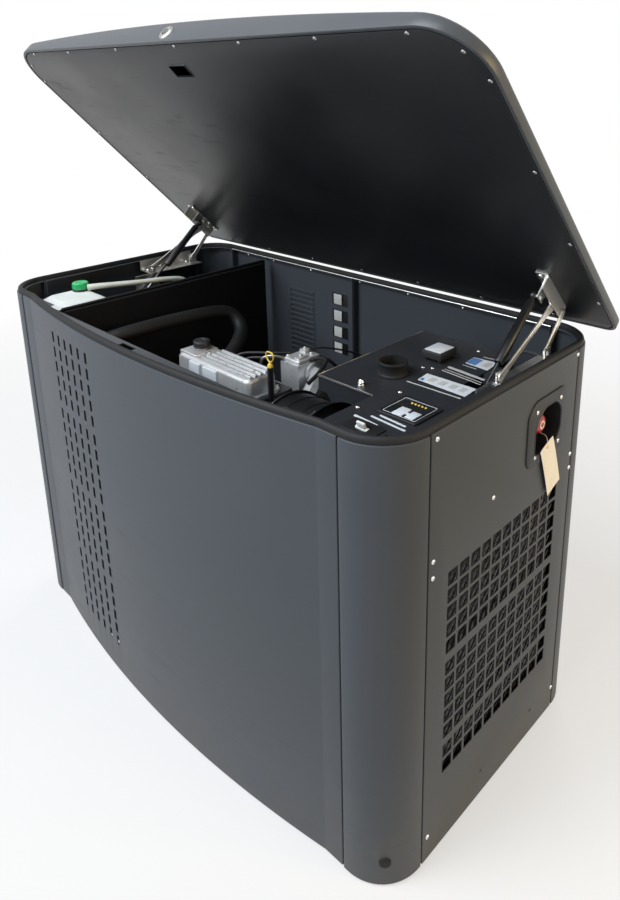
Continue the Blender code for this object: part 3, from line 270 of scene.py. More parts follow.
def applied(obj):
    bpy.context.view_layer.update()
    mesh = bpy.data.meshes.new_from_object(obj.evaluated_get(bpy.context.evaluated_depsgraph_get()))
    name = obj.name
    old = obj.data
    mesh.transform(obj.matrix_world)
    bpy.data.objects.remove(obj, do_unlink=True)
    bpy.data.meshes.remove(old)
    fresh = bpy.data.objects.new(name, mesh)
    mesh.materials.clear()
    bpy.context.scene.collection.objects.link(fresh)
    return fresh


def boolean(obj, tool, operation="DIFFERENCE"):
    mod = obj.modifiers.new("join", "BOOLEAN")
    mod.operation, mod.solver, mod.object = operation, "EXACT", tool
    made = applied(obj)
    bpy.data.objects.remove(tool, do_unlink=True)
    if not made.data.vertices:
        raise ValueError("nothing left of " + made.name)
    return made


def merged(name, pieces):    # several meshes held in one object
    bm = bmesh.new()
    for piece in pieces:
        bm.from_mesh(piece.data)
        bpy.data.objects.remove(piece, do_unlink=True)
    mesh = bpy.data.meshes.new(name)
    bm.to_mesh(mesh)
    bm.free()
    obj = bpy.data.objects.new(name, mesh)
    bpy.context.scene.collection.objects.link(obj)
    return obj


def done(obj, body, finishName, *replaced, angle=34, slotName=None):
    obj.data.materials.clear()
    obj.data.materials.append(mat(finishName))
    obj.data.shade_smooth()
    obj.data.set_sharp_from_angle(angle=math.radians(angle))
    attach(obj, body)
    if replaced:
        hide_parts(*replaced)
    return obj


def slab(name, low, high, radius=0.001, segments=2, frameMatrix=None):
    low, high = Vector(low), Vector(high)
    bm = bmesh.new()
    bmesh.ops.create_cube(bm, size=1.0)
    bmesh.ops.scale(bm, vec=high - low, verts=bm.verts)
    bmesh.ops.translate(bm, vec=(low + high) / 2, verts=bm.verts)
    roundEdges(bm, radius, segments)
    return addMesh(name, bm, frameMatrix)


planes = {"Z": Matrix.Identity(4),
    "X": Matrix(((0, 0, 1, 0), (1, 0, 0, 0), (0, 1, 0, 0), (0, 0, 0, 1))),    # outline (y, z)
    "Y": Matrix(((1, 0, 0, 0), (0, 0, -1, 0), (0, 1, 0, 0), (0, 0, 0, 1)))}    # (x, z), to -Y


def plate(name, loop, low, high, plane="Z", radius=0.0006, segments=2, frameMatrix=None):
    bm = bmesh.new()
    face = bm.faces.new([bm.verts.new((u, v, low)) for u, v in loop])
    top = bmesh.ops.extrude_face_region(bm, geom=[face])["geom"]
    bmesh.ops.translate(bm, vec=(0, 0, high - low), verts=[v for v in top
        if isinstance(v, bmesh.types.BMVert)])
    bmesh.ops.transform(bm, matrix=planes[plane], verts=bm.verts)
    roundEdges(bm, radius, segments)
    return addMesh(name, bm, frameMatrix)


def lathe(name, profile, at, axis="Z", steps=48, radius=0.0, segments=2, frameMatrix=None):
    bm = bmesh.new()
    rings = []
    for r, h in profile:
        turn = range(steps) if r > 1e-7 else (0,)
        rings.append([bm.verts.new((r * math.cos(2 * math.pi * i / steps),
            r * math.sin(2 * math.pi * i / steps), h)) for i in turn])
    pairs = list(zip(rings, rings[1:]))
    if len(rings[0]) > 1 and len(rings[-1]) > 1:
        pairs.append((rings[-1], rings[0]))
    for a, b in pairs:
        for i in range(steps):
            j = (i + 1) % steps
            corners = [a[i % len(a)], a[j % len(a)], b[j % len(b)], b[i % len(b)]]
            bm.faces.new(list(dict.fromkeys(corners)))
    turned = {"X": Matrix.Rotation(math.pi / 2, 4, "Y"), "Y": Matrix.Rotation(-math.pi / 2, 4, "X"),
        "Z": Matrix.Identity(4)}[axis]
    bmesh.ops.transform(bm, matrix=Matrix.Translation(at) @ turned, verts=bm.verts)
    roundEdges(bm, radius, segments)
    return addMesh(name, bm, frameMatrix)


def rod(name, radius, low, high, at, axis="Z", steps=48, frameMatrix=None):
    profile = [(0, low), (radius, low), (radius, high), (0, high)]
    return lathe(name, profile, at, axis, steps, frameMatrix=frameMatrix)


def smoothRun(points, parts=8):
    guide = [Vector(p) for p in points]
    guide = [guide[0] * 2 - guide[1]] + guide + [guide[-1] * 2 - guide[-2]]
    run = []
    for a, b, c, d in zip(guide, guide[1:], guide[2:], guide[3:]):
        for i in range(parts):
            t = i / parts
            run.append(0.5 * (2 * b + (c - a) * t + (2 * a - 5 * b + 4 * c - d) * t ** 2
                + (3 * b - a - 3 * c + d) * t ** 3))
    return run + [Vector(points[-1])]


def tube(name, points, radius, sides=16,
        frameMatrix=None):  # radius is a number, or one for each point
    points = [Vector(p) for p in points]
    radii = [radius] * len(points) if isinstance(radius, (int, float)) else radius
    bm = bmesh.new()
    side = (points[1] - points[0]).orthogonal().normalized()
    rings = []
    for i, point in enumerate(points):
        ahead = (points[min(i + 1, len(points) - 1)] - points[max(i - 1, 0)]).normalized()
        side = (side - ahead * side.dot(ahead)).normalized()
        other = ahead.cross(side)
        angles = [2 * math.pi * k / sides for k in range(sides)]
        rings.append([bm.verts.new(point + (side * math.cos(a) + other * math.sin(a)) * radii[i])
            for a in angles])
    for a, b in zip(rings, rings[1:]):
        for k in range(sides):
            m = (k + 1) % sides
            bm.faces.new((a[k], a[m], b[m], b[k]))
    bm.faces.new(rings[0][::-1])
    bm.faces.new(rings[-1])
    return addMesh(name, bm, frameMatrix)


def loft(name, loops, closed=True,
        frameMatrix=None):  # joins outlines with the same number of points
    bm = bmesh.new()
    rings = [[bm.verts.new(p) for p in loop] for loop in loops]
    pairs = list(zip(rings, rings[1:] + rings[:1])) if closed else list(zip(rings, rings[1:]))
    for a, b in pairs:
        for i in range(len(a)):
            j = (i + 1) % len(a)
            bm.faces.new((a[i], a[j], b[j], b[i]))
    if not closed:
        bm.faces.new(rings[0][::-1])
        bm.faces.new(rings[-1])
    return addMesh(name, bm, frameMatrix)


def arc(center, radius, start, end, count):
    steps = [math.radians(start + (end - start) * i / count) for i in range(count + 1)]
    return [(center[0] + radius * math.cos(a), center[1] + radius * math.sin(a)) for a in steps]


def around(loop, center, count):    # the outline met by evenly turned rays from inside it
    points = []
    for i in range(count):
        way = Vector((math.cos(2 * math.pi * i / count), math.sin(2 * math.pi * i / count)))
        far = 0.0
        for a, b in zip(loop, loop[1:] + loop[:1]):
            start, run = Vector(a) - Vector(center), Vector(b) - Vector(a)
            cross = way.x * run.y - way.y * run.x
            if abs(cross) > 1e-12:
                reach = (start.x * run.y - start.y * run.x) / cross
                share = (start.x * way.y - start.y * way.x) / cross
                if -1e-9 <= share <= 1 + 1e-9:
                    far = max(far, reach)
        points.append((center[0] + way.x * far, center[1] + way.y * far))
    return points


def roundBox(low, high, radius, count=8):
    (x0, y0), (x1, y1) = low, high
    return (arc((x1 - radius, y0 + radius), radius, -90, 0, count) + arc((x1 - radius, y1 - radius),
        radius, 0, 90, count) + arc((x0 + radius, y1 - radius), radius, 90, 180,
        count) + arc((x0 + radius, y0 + radius), radius, 180, 270, count))


def boxAt(cx, cy, halfX, halfY, radius, count):
    return roundBox((cx - halfX, cy - halfY), (cx + halfX, cy + halfY), radius, count)


def rounded(points, radius, count=8):    # any outline with its corners rounded
    loop = []
    for i, corner in enumerate(points):
        corner = Vector(corner)
        before, after = Vector(points[i - 1]), Vector(points[(i + 1) % len(points)])
        a, b = (before - corner).normalized(), (after - corner).normalized()
        for k in range(count + 1):
            t = k / count
            loop.append(tuple(corner + a * radius * (1 - t) ** 2 + b * radius * t ** 2))
    return loop


# ---- Geometry Nodes: one template on many points
def repeatTree():
    tree = bpy.data.node_groups.new("repeatOnPoints", "GeometryNodeTree")
    for label, kind in (("Points", "Geometry"), ("Template", "Object"), ("Finish", "Material")):
        tree.interface.new_socket(label, in_out="INPUT", socket_type="NodeSocket" + kind)
    tree.interface.new_socket("Result", in_out="OUTPUT", socket_type="NodeSocketGeometry")
    source = tree.nodes.new("NodeGroupInput")
    given = {s.name: Wire(tree, s) for s in source.outputs if s.name}
    facing, along = [make(tree, "GeometryNodeInputNamedAttribute", {"data_type": "FLOAT_VECTOR"},
        {"Name": n}) for n in ("facing", "along")]
    turn = make(tree, "FunctionNodeAxesToRotation", {"primary_axis": "Z", "secondary_axis": "X"},
        {0: facing, 1: along})
    shape = make(tree, "GeometryNodeObjectInfo", {}, {"Object": given["Template"],
        "As Instance": True}, 4)
    placed = make(tree, "GeometryNodeInstanceOnPoints", {}, {"Points": given["Points"],
        "Instance": shape, "Rotation": turn})
    real = make(tree, "GeometryNodeRealizeInstances", {}, {0: placed})
    coloured = make(tree, "GeometryNodeSetMaterial", {}, {"Geometry": real,
        "Material": given["Finish"]})
    result = tree.nodes.new("NodeGroupOutput")
    tree.links.new(coloured.socket, result.inputs[0])
    return tree


repeatGroup = repeatTree()


def setInputs(mod, values):    # a modifier's inputs go by identifier
    for item in mod.node_group.interface.items_tree:
        if item.in_out == "INPUT" and item.name in values:
            mod[item.identifier] = values[item.name]


def repeat(name, template, places, finishName="blackPlastic", keep=False):
    mesh = bpy.data.meshes.new(name)
    mesh.from_pydata([p[0] for p in places], [], [])
    for index, label in ((1, "facing"), (2, "along")):
        layer = mesh.attributes.new(label, "FLOAT_VECTOR", "POINT")
        for item, place in zip(layer.data, places):
            item.vector = place[index]
    obj = bpy.data.objects.new(name, mesh)
    bpy.context.scene.collection.objects.link(obj)
    mod = obj.modifiers.new("repeat", "NODES")
    mod.node_group = repeatGroup
    setInputs(mod, {"Template": template, "Finish": mat(finishName)})
    obj.update_tag()
    made = applied(obj)
    if not keep:
        bpy.data.objects.remove(template, do_unlink=True)
    return made


def spread(name, template, places, body, finishName, angle=34, keep=False):
    done(repeat(name, template, places, finishName, keep), body, finishName, angle=angle)


xAxis, yAxis, zAxis = (1, 0, 0), (0, 1, 0), (0, 0, 1)


def screwTemplate(radius, height):    # pan head with a cross recess, standing on z = 0
    head = lathe("screwTemplate", [(0, height), (radius * 0.55, height * 0.96),
        (radius * 0.86, height * 0.66), (radius, height * 0.2), (radius, 0), (0, 0)], (0, 0, 0),
        steps=12)
    long, thin, floor = radius * 0.5, radius * 0.11, height * 0.45
    for wide, deep in ((long, thin), (thin, long)):
        head = boolean(head, slab("recess", (-wide, -deep, floor), (wide, deep, height * 2), 0))
    return head


def screws(name, places, body, radius, height, finishName="chrome"):
    spread(name, screwTemplate(radius, height), places, body, finishName)


# ---- enclosure
def bowLine(inset, count=64):
    points = []
    for i in range(count + 1):
        x = bowHalf * (2 * i / count - 1)
        points.append((x, -halfDepth - bowDepth * (1 - (x / bowHalf) ** 2) + inset))
    return points


def bodyLoop(inset):
    cx, cy, r = halfLen - cornerR, halfDepth - cornerR, cornerR - inset
    return (bowLine(inset) + arc((cx, -cy), r, -90, 0, 24) + arc((cx, cy), r, 0, 90,
        24) + arc((-cx, cy), r, 90, 180, 24) + arc((-cx, -cy), r, 180, 270, 24))


def foldedShell(name, outline, pocket, low,
        high):  # rounded folds outside, thin folded edges inside
    body = plate(name, outline, low, high, radius=0.002, segments=3)
    return boolean(body, plate(name + "Pocket", pocket, low + sheet, high - sheet, radius=0))


def pan(name, low, high, axis, sign):
    body = slab(name, low, high, 0.002, 3)
    inLow, inHigh = [v + sheet for v in low], [v - sheet for v in high]
    if sign > 0:
        inHigh[axis] = high[axis] + 0.004
    else:
        inLow[axis] = low[axis] - 0.004
    return boolean(body, slab(name + "Pocket", inLow, inHigh, 0))


def cutRepeated(obj, template, places):
    return boolean(obj, repeat(obj.name + "Cuts", template, places))


post = {"width": fold, "steps": 24, "nodes": ("post_front_left", "post_front_right",
    "post_rear_left", "post_rear_right")}


def buildPosts():
    def loop(outer, inner, trim, sx, sy):
        cx, cy, steps = halfLen - cornerR, halfDepth - cornerR, post["steps"]
        startX, endY = seamX + seam / 2 + trim, seamY + seam / 2 + trim
        rim = [(startX, -halfDepth + outer)] + arc((cx, -cy), cornerR - outer, -90, 0, steps)
        rim += [(halfLen - outer, -endY), (halfLen - inner, -endY)]
        rim += arc((cx, -cy), cornerR - inner, 0, -90, steps) + [(startX, -halfDepth + inner)]
        return [(sx * x, -sy * y) for x, y in rim]
    for node in post["nodes"]:
        low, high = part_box(node)
        sx, sy = math.copysign(1, low.x + high.x), math.copysign(1, low.y + high.y)
        obj = foldedShell("corner_" + node, loop(0, post["width"], 0, sx, sy),
            loop(sheet, post["width"] + 0.004, sheet, sx, sy), panelBase, panelTop)
        done(obj, main, "panelPaint", node)


frontPanel = {"ventX": (-0.347, -0.31, -0.273, -0.236, -0.199, -0.161), "ventRows": 20,
    "ventTop": 0.853, "ventPitch": 0.03748, "ventGap": 0.0088, "ventLong": 0.0275,
    "ventWide": 0.0112, "latch": (-0.0535, -0.0025), "crease": (0.0005, 0.003),
    "stepIn": 0.093, "lip": 0.0035, "slotRise": 0.013, "ventShadeSheet": (-0.42, -0.12, 0.884)}


def buildFrontPanel():
    spec = frontPanel
    edge, step, lip = seamX - seam / 2, bowHalf - spec["stepIn"], -halfDepth + spec["lip"]
    side = -halfDepth + 0.001
    right = [(bowHalf + d, -halfDepth + (0.001 * d / (edge - bowHalf)))
        for d in spec["crease"]] + [(edge, side)]
    left = [(-x, y) for x, y in reversed(right)]
    bow = bowLine(0)
    slope = [(bowHalf - d, -halfDepth - 2 * bowDepth * d / bowHalf) for d in spec["crease"]]
    bow = bow[:1] + [(-x, y) for x, y in slope] + bow[1:-1] + slope[::-1] + bow[-1:]
    outer = left + bow[1:-1] + right + [(edge, -rearIn), (step, -rearIn), (step, lip), (-step, lip),
        (-step, -rearIn), (-edge, -rearIn)]
    inner = edge - sheet
    pocket = [(-inner, side + sheet)] + bowLine(sheet) + [(inner, side + sheet),
        (inner, 0.025 - rearIn), (-inner, 0.025 - rearIn)]
    panel = foldedShell("bowed_front", outer, pocket, panelBase, panelTop)
    template = plate("ventCut", roundBox((-spec["ventWide"] / 2, -spec["ventLong"] / 2),
        (spec["ventWide"] / 2, spec["ventLong"] / 2), 0.003, 3), -0.03, 0.03, radius=0)
    places = []
    for x in spec["ventX"]:
        for row in range(spec["ventRows"]):
            z = spec["ventTop"] - 0.014 - row * spec["ventPitch"] - (row // 5) * spec["ventGap"]
            y = -halfDepth - bowDepth * (1 - (x / bowHalf) ** 2)
            places.append(((x, y, z), yAxis, xAxis))
    panel = cutRepeated(panel, template, places)
    latchY = -halfDepth - spec["slotRise"]
    slot = plate("latchCut", roundBox((spec["latch"][0], latchY - 0.0075),
        (spec["latch"][1], latchY + 0.0075), 0.002, 4), panelTop - 0.008, panelTop + 0.004,
        radius=0)
    done(boolean(panel, slot), main, "panelPaint", "front_panel")
    # black sheet behind the front vents: painted shade, it keeps the slots as dark as the shaded
    # inside of the panel
    x0, x1, high = spec["ventShadeSheet"]
    low = panelBase + 0.004
    ventShadeSheet = plate("front_lining", rounded([(x0, low), (x1, low), (x1, high), (x0, high)], 0.006),
        halfDepth - 0.018, halfDepth - 0.006, "Y", 0.002, 3)
    done(ventShadeSheet, main, "foam")


sidePanels = {"grilleY": 11, "grillePitch": 0.0347, "groups": ((0.614, 5), (0.426, 5), (0.24, 2)),
    "hole": 0.0285, "rowPitch": 0.0354, "screws": ((-0.229, 0.881), (0.239, 0.883), (-0.232, 0.66),
    (-0.232, 0.628), (0.238, 0.662), (0.238, 0.63), (-0.055, 0.696), (-0.229, 0.06), (0.238, 0.06)),
    "dimples": ((-0.051, 0.063), (0.144, 0.065))}


def buildSidePanels():
    spec = sidePanels
    edge = seamY - seam / 2
    right = pan("control_end_panel", (sideIn, -edge, panelBase), (halfLen, edge, panelTop), 0, -1)
    half = spec["hole"] / 2
    template = plate("grilleCut", boxAt(0, 0, half, half, 0.0022, 3), -0.01, 0.01, radius=0)
    places = []
    for col in range(spec["grilleY"]):
        y = (col - (spec["grilleY"] - 1) / 2) * spec["grillePitch"]
        for top, rows in spec["groups"]:
            places += [((halfLen, y, top - half - row * spec["rowPitch"]), xAxis, yAxis)
                for row in range(rows)]
    right = cutRepeated(right, template, places)
    y, z = stop["y"], stop["z"]
    window = plate("stopWindow", boxAt(y, z, 0.0562, 0.0537, 0.008, 6), halfLen - 0.01,
        halfLen + 0.01, "X", 0)
    done(boolean(right, window), main, "panelPaint", "right_panel")
    screws("end_panel_screws", [((halfLen, y, z), xAxis, yAxis) for y, z in spec["screws"]], main,
        0.0048, 0.0026)
    screws("end_panel_dimples", [((halfLen, y, z), xAxis, yAxis) for y, z in spec["dimples"]], main,
        0.004, 0.0012, "framePaint")
    buildScreen(halfLen - 0.0105)

    left = pan("exhaust_end_panel", (-halfLen, -edge, panelBase), (-sideIn, edge, panelTop), 0, 1)
    slot = plate("louvreCut", boxAt(0, 0, 0.1625, 0.0115, 0.01, 6), -0.01, 0.01, radius=0)
    left = cutRepeated(left, slot, [((-halfLen, -0.0625, 0.1425 + 0.05 * i), xAxis, yAxis)
        for i in range(11)])
    tail = rod("tailCut", 0.028, -0.01, 0.01, (-halfLen, 0.2, 0.3), "X")
    done(boolean(left, tail), main, "panelPaint", "left_panel")
    hood = tube("hood", [(-0.168, 0, -0.002), (-0.158, 0, 0.004), (0.158, 0, 0.004),
        (0.168, 0, -0.002)], [0.004, 0.0105, 0.0105, 0.004], 12)
    spread("exhaust_end_louvres", hood, [((-halfLen + 0.0025, -0.0625, 0.154 + 0.05 * i),
        (-1, 0, 0), yAxis) for i in range(11)], main, "panelPaint")
    screws("exhaust_end_screws", [((-halfLen, sy * 0.231, z), (-1, 0, 0), yAxis) for sy in (-1, 1)
        for z in (0.06, 0.45, 0.66, 0.881)], main, 0.0048, 0.0026)


def buildScreen(x):    # woven guard behind the square holes
    pitch, radius, midZ = 0.0185, 0.0011, 0.394
    guard = slab("grille_guard_sheet", (x - 0.0012, -0.212, 0.155), (x, 0.212, 0.632), 0.0004, 1)
    done(guard, main, "blackPaint")
    places = []
    for i in range(-24, 25):
        for turn in (1, -1):
            offset = i * pitch
            along = Vector((0, 1, turn)).normalized()
            if abs(offset) < 0.4:
                places.append(((x + 0.0012 + 0.0012 * turn, offset * 0.5,
                    midZ - turn * offset * 0.5), along))
    rods = []
    for index, (at, along) in enumerate(places):
        at = Vector(at)
        limits = []
        for sign in (1, -1):
            toY = (0.21 - sign * at.y * (1 if along.y > 0 else -1)) / abs(along.y)
            toZ = (0.238 - sign * (at.z - midZ) * (1 if along.z > 0 else -1)) / abs(along.z)
            limits.append(min(toY, toZ))
        rods.append(tube(f"rod{index}", [at - along * limits[1], at + along * limits[0]], radius,
            6))
    done(merged("grille_guard_weave", rods), main, "blackPaint", slotName="steel")


rear = {"louvreX": (-0.302, -0.206), "louvreTop": 0.814, "pitch": 0.0155, "louvres": 13,
    "windowX": (-0.128, -0.068), "windowTop": 0.832, "windowPitch": 0.0487, "windows": 4,
    "screwX": (-0.377, -0.215, -0.044, -0.022, 0.146, 0.316, 0.47, -0.5)}


def buildRearPanels():
    spec = rear
    edge, mid = seamX - seam / 2, -0.033
    left = pan("rear_left_panel", (-edge, rearIn, panelBase), (mid - seam / 2, halfDepth, panelTop),
        1, -1)
    half = (spec["louvreX"][1] - spec["louvreX"][0]) / 2
    midX = sum(spec["louvreX"]) / 2
    slot = plate("slot", boxAt(0, 0, half, 0.0036, 0.0034, 5), -0.01, 0.01, radius=0)
    rows = [spec["louvreTop"] - 0.0035 - spec["pitch"] * i for i in range(spec["louvres"])]
    left = cutRepeated(left, slot, [((midX, halfDepth, z), yAxis, xAxis) for z in rows])
    winHalf = (spec["windowX"][1] - spec["windowX"][0]) / 2
    winX = sum(spec["windowX"]) / 2
    window = plate("window", boxAt(0, 0, winHalf, 0.018, 0.004, 5), -0.01, 0.01, radius=0)
    winZ = [spec["windowTop"] - 0.018 - spec["windowPitch"] * i for i in range(spec["windows"])]
    left = cutRepeated(left, window, [((winX, halfDepth, z), yAxis, xAxis) for z in winZ])
    done(left, main, "panelPaint", "rear_panel_left")
    lipShape = tube("lipShape", smoothRun([(-half, 0, 0.0008), (-half * 0.93, 0.0008, 0.004),
        (0, 0.001, 0.0042), (half * 0.93, 0.0008, 0.004), (half, 0, 0.0008)], 3), 0.0021, 8)
    spread("rear_louvre_lips", lipShape, [((midX, halfDepth - sheet, z + 0.003), (0, -1, 0), xAxis)
        for z in rows], main, "panelPaint")
    scoop = tube("scoop", smoothRun([(-half - 0.004, 0, -0.0035), (-half * 0.93, 0, 0.001),
        (0, 0, 0.0014), (half * 0.93, 0, 0.001), (half + 0.004, 0, -0.0035)], 3), 0.0068, 12)
    spread("rear_louvre_hoods", scoop, [((midX, halfDepth, z - 0.0012), yAxis, xAxis)
        for z in rows], main, "panelPaint")
    right = pan("rear_right_panel", (mid + seam / 2, rearIn, panelBase),
        (edge, halfDepth, panelTop), 1, -1)
    done(right, main, "panelPaint", "rear_panel_right")
    strips = [slab(f"strip{i}", (winX - 0.026, halfDepth - 0.001, z - 0.016),
        (winX + 0.004, halfDepth + 0.001, z + 0.014), 0.0006) for i, z in enumerate(winZ)]
    done(merged("rear_window_strips", strips), main, "filterPaint")
    # black plate outside the rear windows: painted shade, it keeps the windows dark from inside
    back = slab("rear_window_cover", (winX - 0.04, halfDepth + 0.0036, winZ[-1] - 0.03),
        (winX + 0.04, halfDepth + 0.0075, winZ[0] + 0.03), 0.0015)
    done(back, main, "blackPaint")
    gutter = slab("rear_rain_lip", (-edge, halfDepth + 0.0002, panelTop - 0.006),
        (edge, halfDepth + 0.013, panelTop + 0.001), 0.0015)
    done(gutter, main, "sealRubber")
    # bright zinc rod along the rear flange's inner top edge: a painted highlight
    flangeHighlight = tube("rear_flange_edge", [(x, rearIn + 0.001, panelTop + 0.0006)
        for x in (-edge, -0.2, 0.2, edge)], 0.0012, 8)
    done(flangeHighlight, main, "zinc")
    inside = [((x, halfDepth - sheet, 0.88), (0, -1, 0), xAxis) for x in spec["screwX"]]
    outside = [((x, halfDepth, z), yAxis, xAxis) for x in (-0.548, -0.042, -0.024, 0.548)
        for z in (0.06, 0.45, 0.84)]
    screws("rear_wall_screws", inside + outside, main, 0.0042, 0.0022)


def buildSeal():    # hollow gasket with a round back, pressed over the top flange
    (low, high), wide = heights("rim_seal"), 0.0125
    profile = [(0, low), (0, low + 0.0055), (0.001, low + 0.0086), (0.0036, high - 0.001),
        (0.007, high), (wide - 0.005, high), (wide - 0.0016, high - 0.002), (wide, high - 0.006),
        (wide, low)]
    done(loft("top_gasket", [[(x, y, z) for x, y in bodyLoop(0.003 + inset)] for inset,
        z in profile]), main, "sealRubber", "rim_seal", angle=50)


def buildPlugs():
    angle = math.radians(-44.5)
    cx, cy = halfLen - cornerR, -(halfDepth - cornerR)
    spots = [(sx, sy) for sx in (-1, 1) for sy in (-1, 1)]
    template = lathe("plugShape", [(0, 0.004), (0.004, 0.004), (0.0048, 0.0026), (0.0085, 0.003),
        (0.0108, 0.0018), (0.0112, -0.0005), (0, -0.0005)], (0, 0, 0), steps=24)
    places = []
    for sx, sy in spots:
        way = (sx * math.cos(angle), -sy * math.sin(angle), 0)
        places.append(((sx * cx + way[0] * cornerR, -sy * cy + way[1] * cornerR, 0.0587), way,
            zAxis))
    spread("lifting_hole_plugs", template, places, main, "rubber")


# ---- emergency stop at the control end
stop = {"y": 0.129, "z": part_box("estop_housing")[1].z - 0.069, "face": halfLen + 0.0003,
    "floor": halfLen - 0.048, "screws": ((0.084, 0.812), (0.175, 0.813), (0.084, 0.718),
    (0.174, 0.719)), "tilt": 20}


def buildStop():
    y, z, face, floor = stop["y"], stop["z"], stop["face"], stop["floor"]
    outline = rounded([(y - 0.062, z - 0.069), (y + 0.068, z - 0.063), (y + 0.078, z - 0.04),
        (y + 0.078, z + 0.05), (y + 0.058, z + 0.069), (y - 0.05, z + 0.069),
        (y - 0.076, z + 0.045), (y - 0.076, z - 0.055)], 0.0115, 6)
    well = rounded([(y - 0.048, z - 0.0455), (y + 0.03, z - 0.0455), (y + 0.048, z - 0.02),
        (y + 0.048, z + 0.026), (y + 0.03, z + 0.0455), (y - 0.02, z + 0.0455),
        (y - 0.048, z + 0.015)], 0.0125, 8)
    cup = boxAt(y, z, 0.0552, 0.0527, 0.007, 6)
    rings = [(well, 1.0, floor + 0.003), (well, 1.0, face + 0.0024), (well, 1.012, face + 0.003),
        (outline, 0.978, face + 0.003), (outline, 0.994, face + 0.0022),
        (outline, 1.0, face + 0.0008), (outline, 1.0, face), (cup, 1.0, face), (cup, 1.0, floor)]
    bezel = loft("stop_bezel", [[(x, y + (a - y) * k, z + (b - z) * k) for a,
        b in around(loop, (y, z), 144)] for loop, k, x in rings], False)
    rim = loft("stop_well_rim", [[(x, y + (a - y) * k, z + (b - z) * k) for a, b in well] for k,
        x in ((1.0, face + 0.0028), (1.03, face + 0.0044), (1.075, face + 0.0028))])
    collar = lathe("stop_collar", [(0.006, 0.019), (0.012, 0.019), (0.014, 0.017), (0.014, 0.004),
        (0.0185, 0.003), (0.0195, 0), (0.006, 0)], (floor + 0.001, y, z), "X")
    done(bezel, main, "blackPlastic", "estop_housing")
    done(merged("stop_trim", [rim, collar]), main, "blackPlastic", angle=50)
    screws("stop_screws", [((face + 0.003, a, b), xAxis, yAxis) for a, b in stop["screws"]], main,
        0.0044, 0.001)

    headX = floor + 0.0253
    head = [(0, 0.0138), (0.004, 0.0138), (0.0048, 0.013), (0.009, 0.0128), (0.0098, 0.0138),
        (0.013, 0.013), (0.0172, 0.0108), (0.0194, 0.0076), (0.02, 0.005), (0.0194, 0.0026),
        (0.017, 0.0012), (0.0104, 0.0004), (0.008, 0), (0, 0)]
    done(lathe("stop_button", head, (headX, y, z), "X", 64), "estop_head", "redPlastic",
        "estop_head", angle=60)
    ring = lathe("stop_button_ring", [(0.0052, 0.0135), (0.0087, 0.0135), (0.0087, 0.0125),
        (0.0052, 0.0125)], (headX, y, z), "X")
    done(ring, "estop_head", "whitePlastic")
    stem = rod("stop_stem", 0.0056, 0, 0.031, (floor - 0.007, y, z), "X")
    done(stem, "estop_stem", "chrome", "estop_stem")

    turn = Matrix.Translation((0, y, z)) @ Matrix.Rotation(math.radians(stop["tilt"]), 4, "X")
    ringX, sheetX, ringR = floor + 0.011, face + 0.0047, 0.0154
    loop = [(ringX, ringR * math.sin(a), ringR * math.cos(a)) for a in [math.pi * 2 * i / 40
        for i in range(41)]]
    string = smoothRun([(ringX, 0, -ringR), (ringX + 0.006, 0, -0.0235), (ringX + 0.03, 0, -0.0262),
        (sheetX - 0.0015, -0.011, -0.03), (sheetX - 0.0005, -0.0165, -0.0372)], 6)
    cord = merged("tag_string", [tube("ringPart", loop, 0.0009, 8, turn),
        tube("stringPart", string, 0.0009, 8, turn)])
    done(cord, "tag", "card", "tag")
    card = rounded([(-0.042, -0.029), (0.008, -0.029), (0.008, -0.151), (-0.042, -0.151)], 0.002, 4)
    bm = bmesh.new()
    cardFace = bm.faces.new([bm.verts.new((sheetX - 0.0004, a, b)) for a, b in card])
    bmesh.ops.triangulate(bm, faces=[cardFace])
    bmesh.ops.subdivide_edges(bm, edges=bm.edges, cuts=5, use_grid_fill=True)
    for vert in bm.verts:    # the card has a slight curl
        drop = (-0.029 - vert.co.z) / 0.122
        vert.co.x += 0.0009 * math.sin(drop * 3.0) * (1 if drop > 0
            else 0) + 0.0006 * ((vert.co.y + 0.017) / 0.025) ** 2
    top = bmesh.ops.extrude_face_region(bm, geom=list(bm.faces))["geom"]
    bmesh.ops.translate(bm, vec=(0.0007, 0, 0), verts=[v for v in top
        if isinstance(v, bmesh.types.BMVert)])
    done(addMesh("tag_card", bm, turn), "tag", "card")
    eyelet = lathe("tag_eyelet", [(0.0018, 0.0016), (0.0032, 0.0012), (0.004, 0.0003),
        (0.004, -0.0003), (0.0018, -0.0003)], (sheetX + 0.0006, -0.017, -0.0375), "X", 32,
        frameMatrix=turn)
    done(eyelet, "tag", "brass")


# ---- lid
lid = {"half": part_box("lid_shell")[1].x, "depth": 2 * halfDepth + bowDepth + 0.0785, "crown": 0.057,
    "fall": 0.07, "frontR": 0.105, "rearR": 0.03, "edgeR": 0.009, "flange": 0.007, "open": 45.4,
    "columns": 120, "rows": 10, "latch": (-0.057, -0.002, 0.722, 0.752), "lockX": -0.012,
    "lockH": 0.022}
lidFrame = Matrix.Translation((0, halfDepth - 0.0065, panelTop
    + 0.017)) @ Matrix.Rotation(math.radians(-lid["open"]), 4,
    "X")  # lid coordinates: x, -distance from the rear edge, height


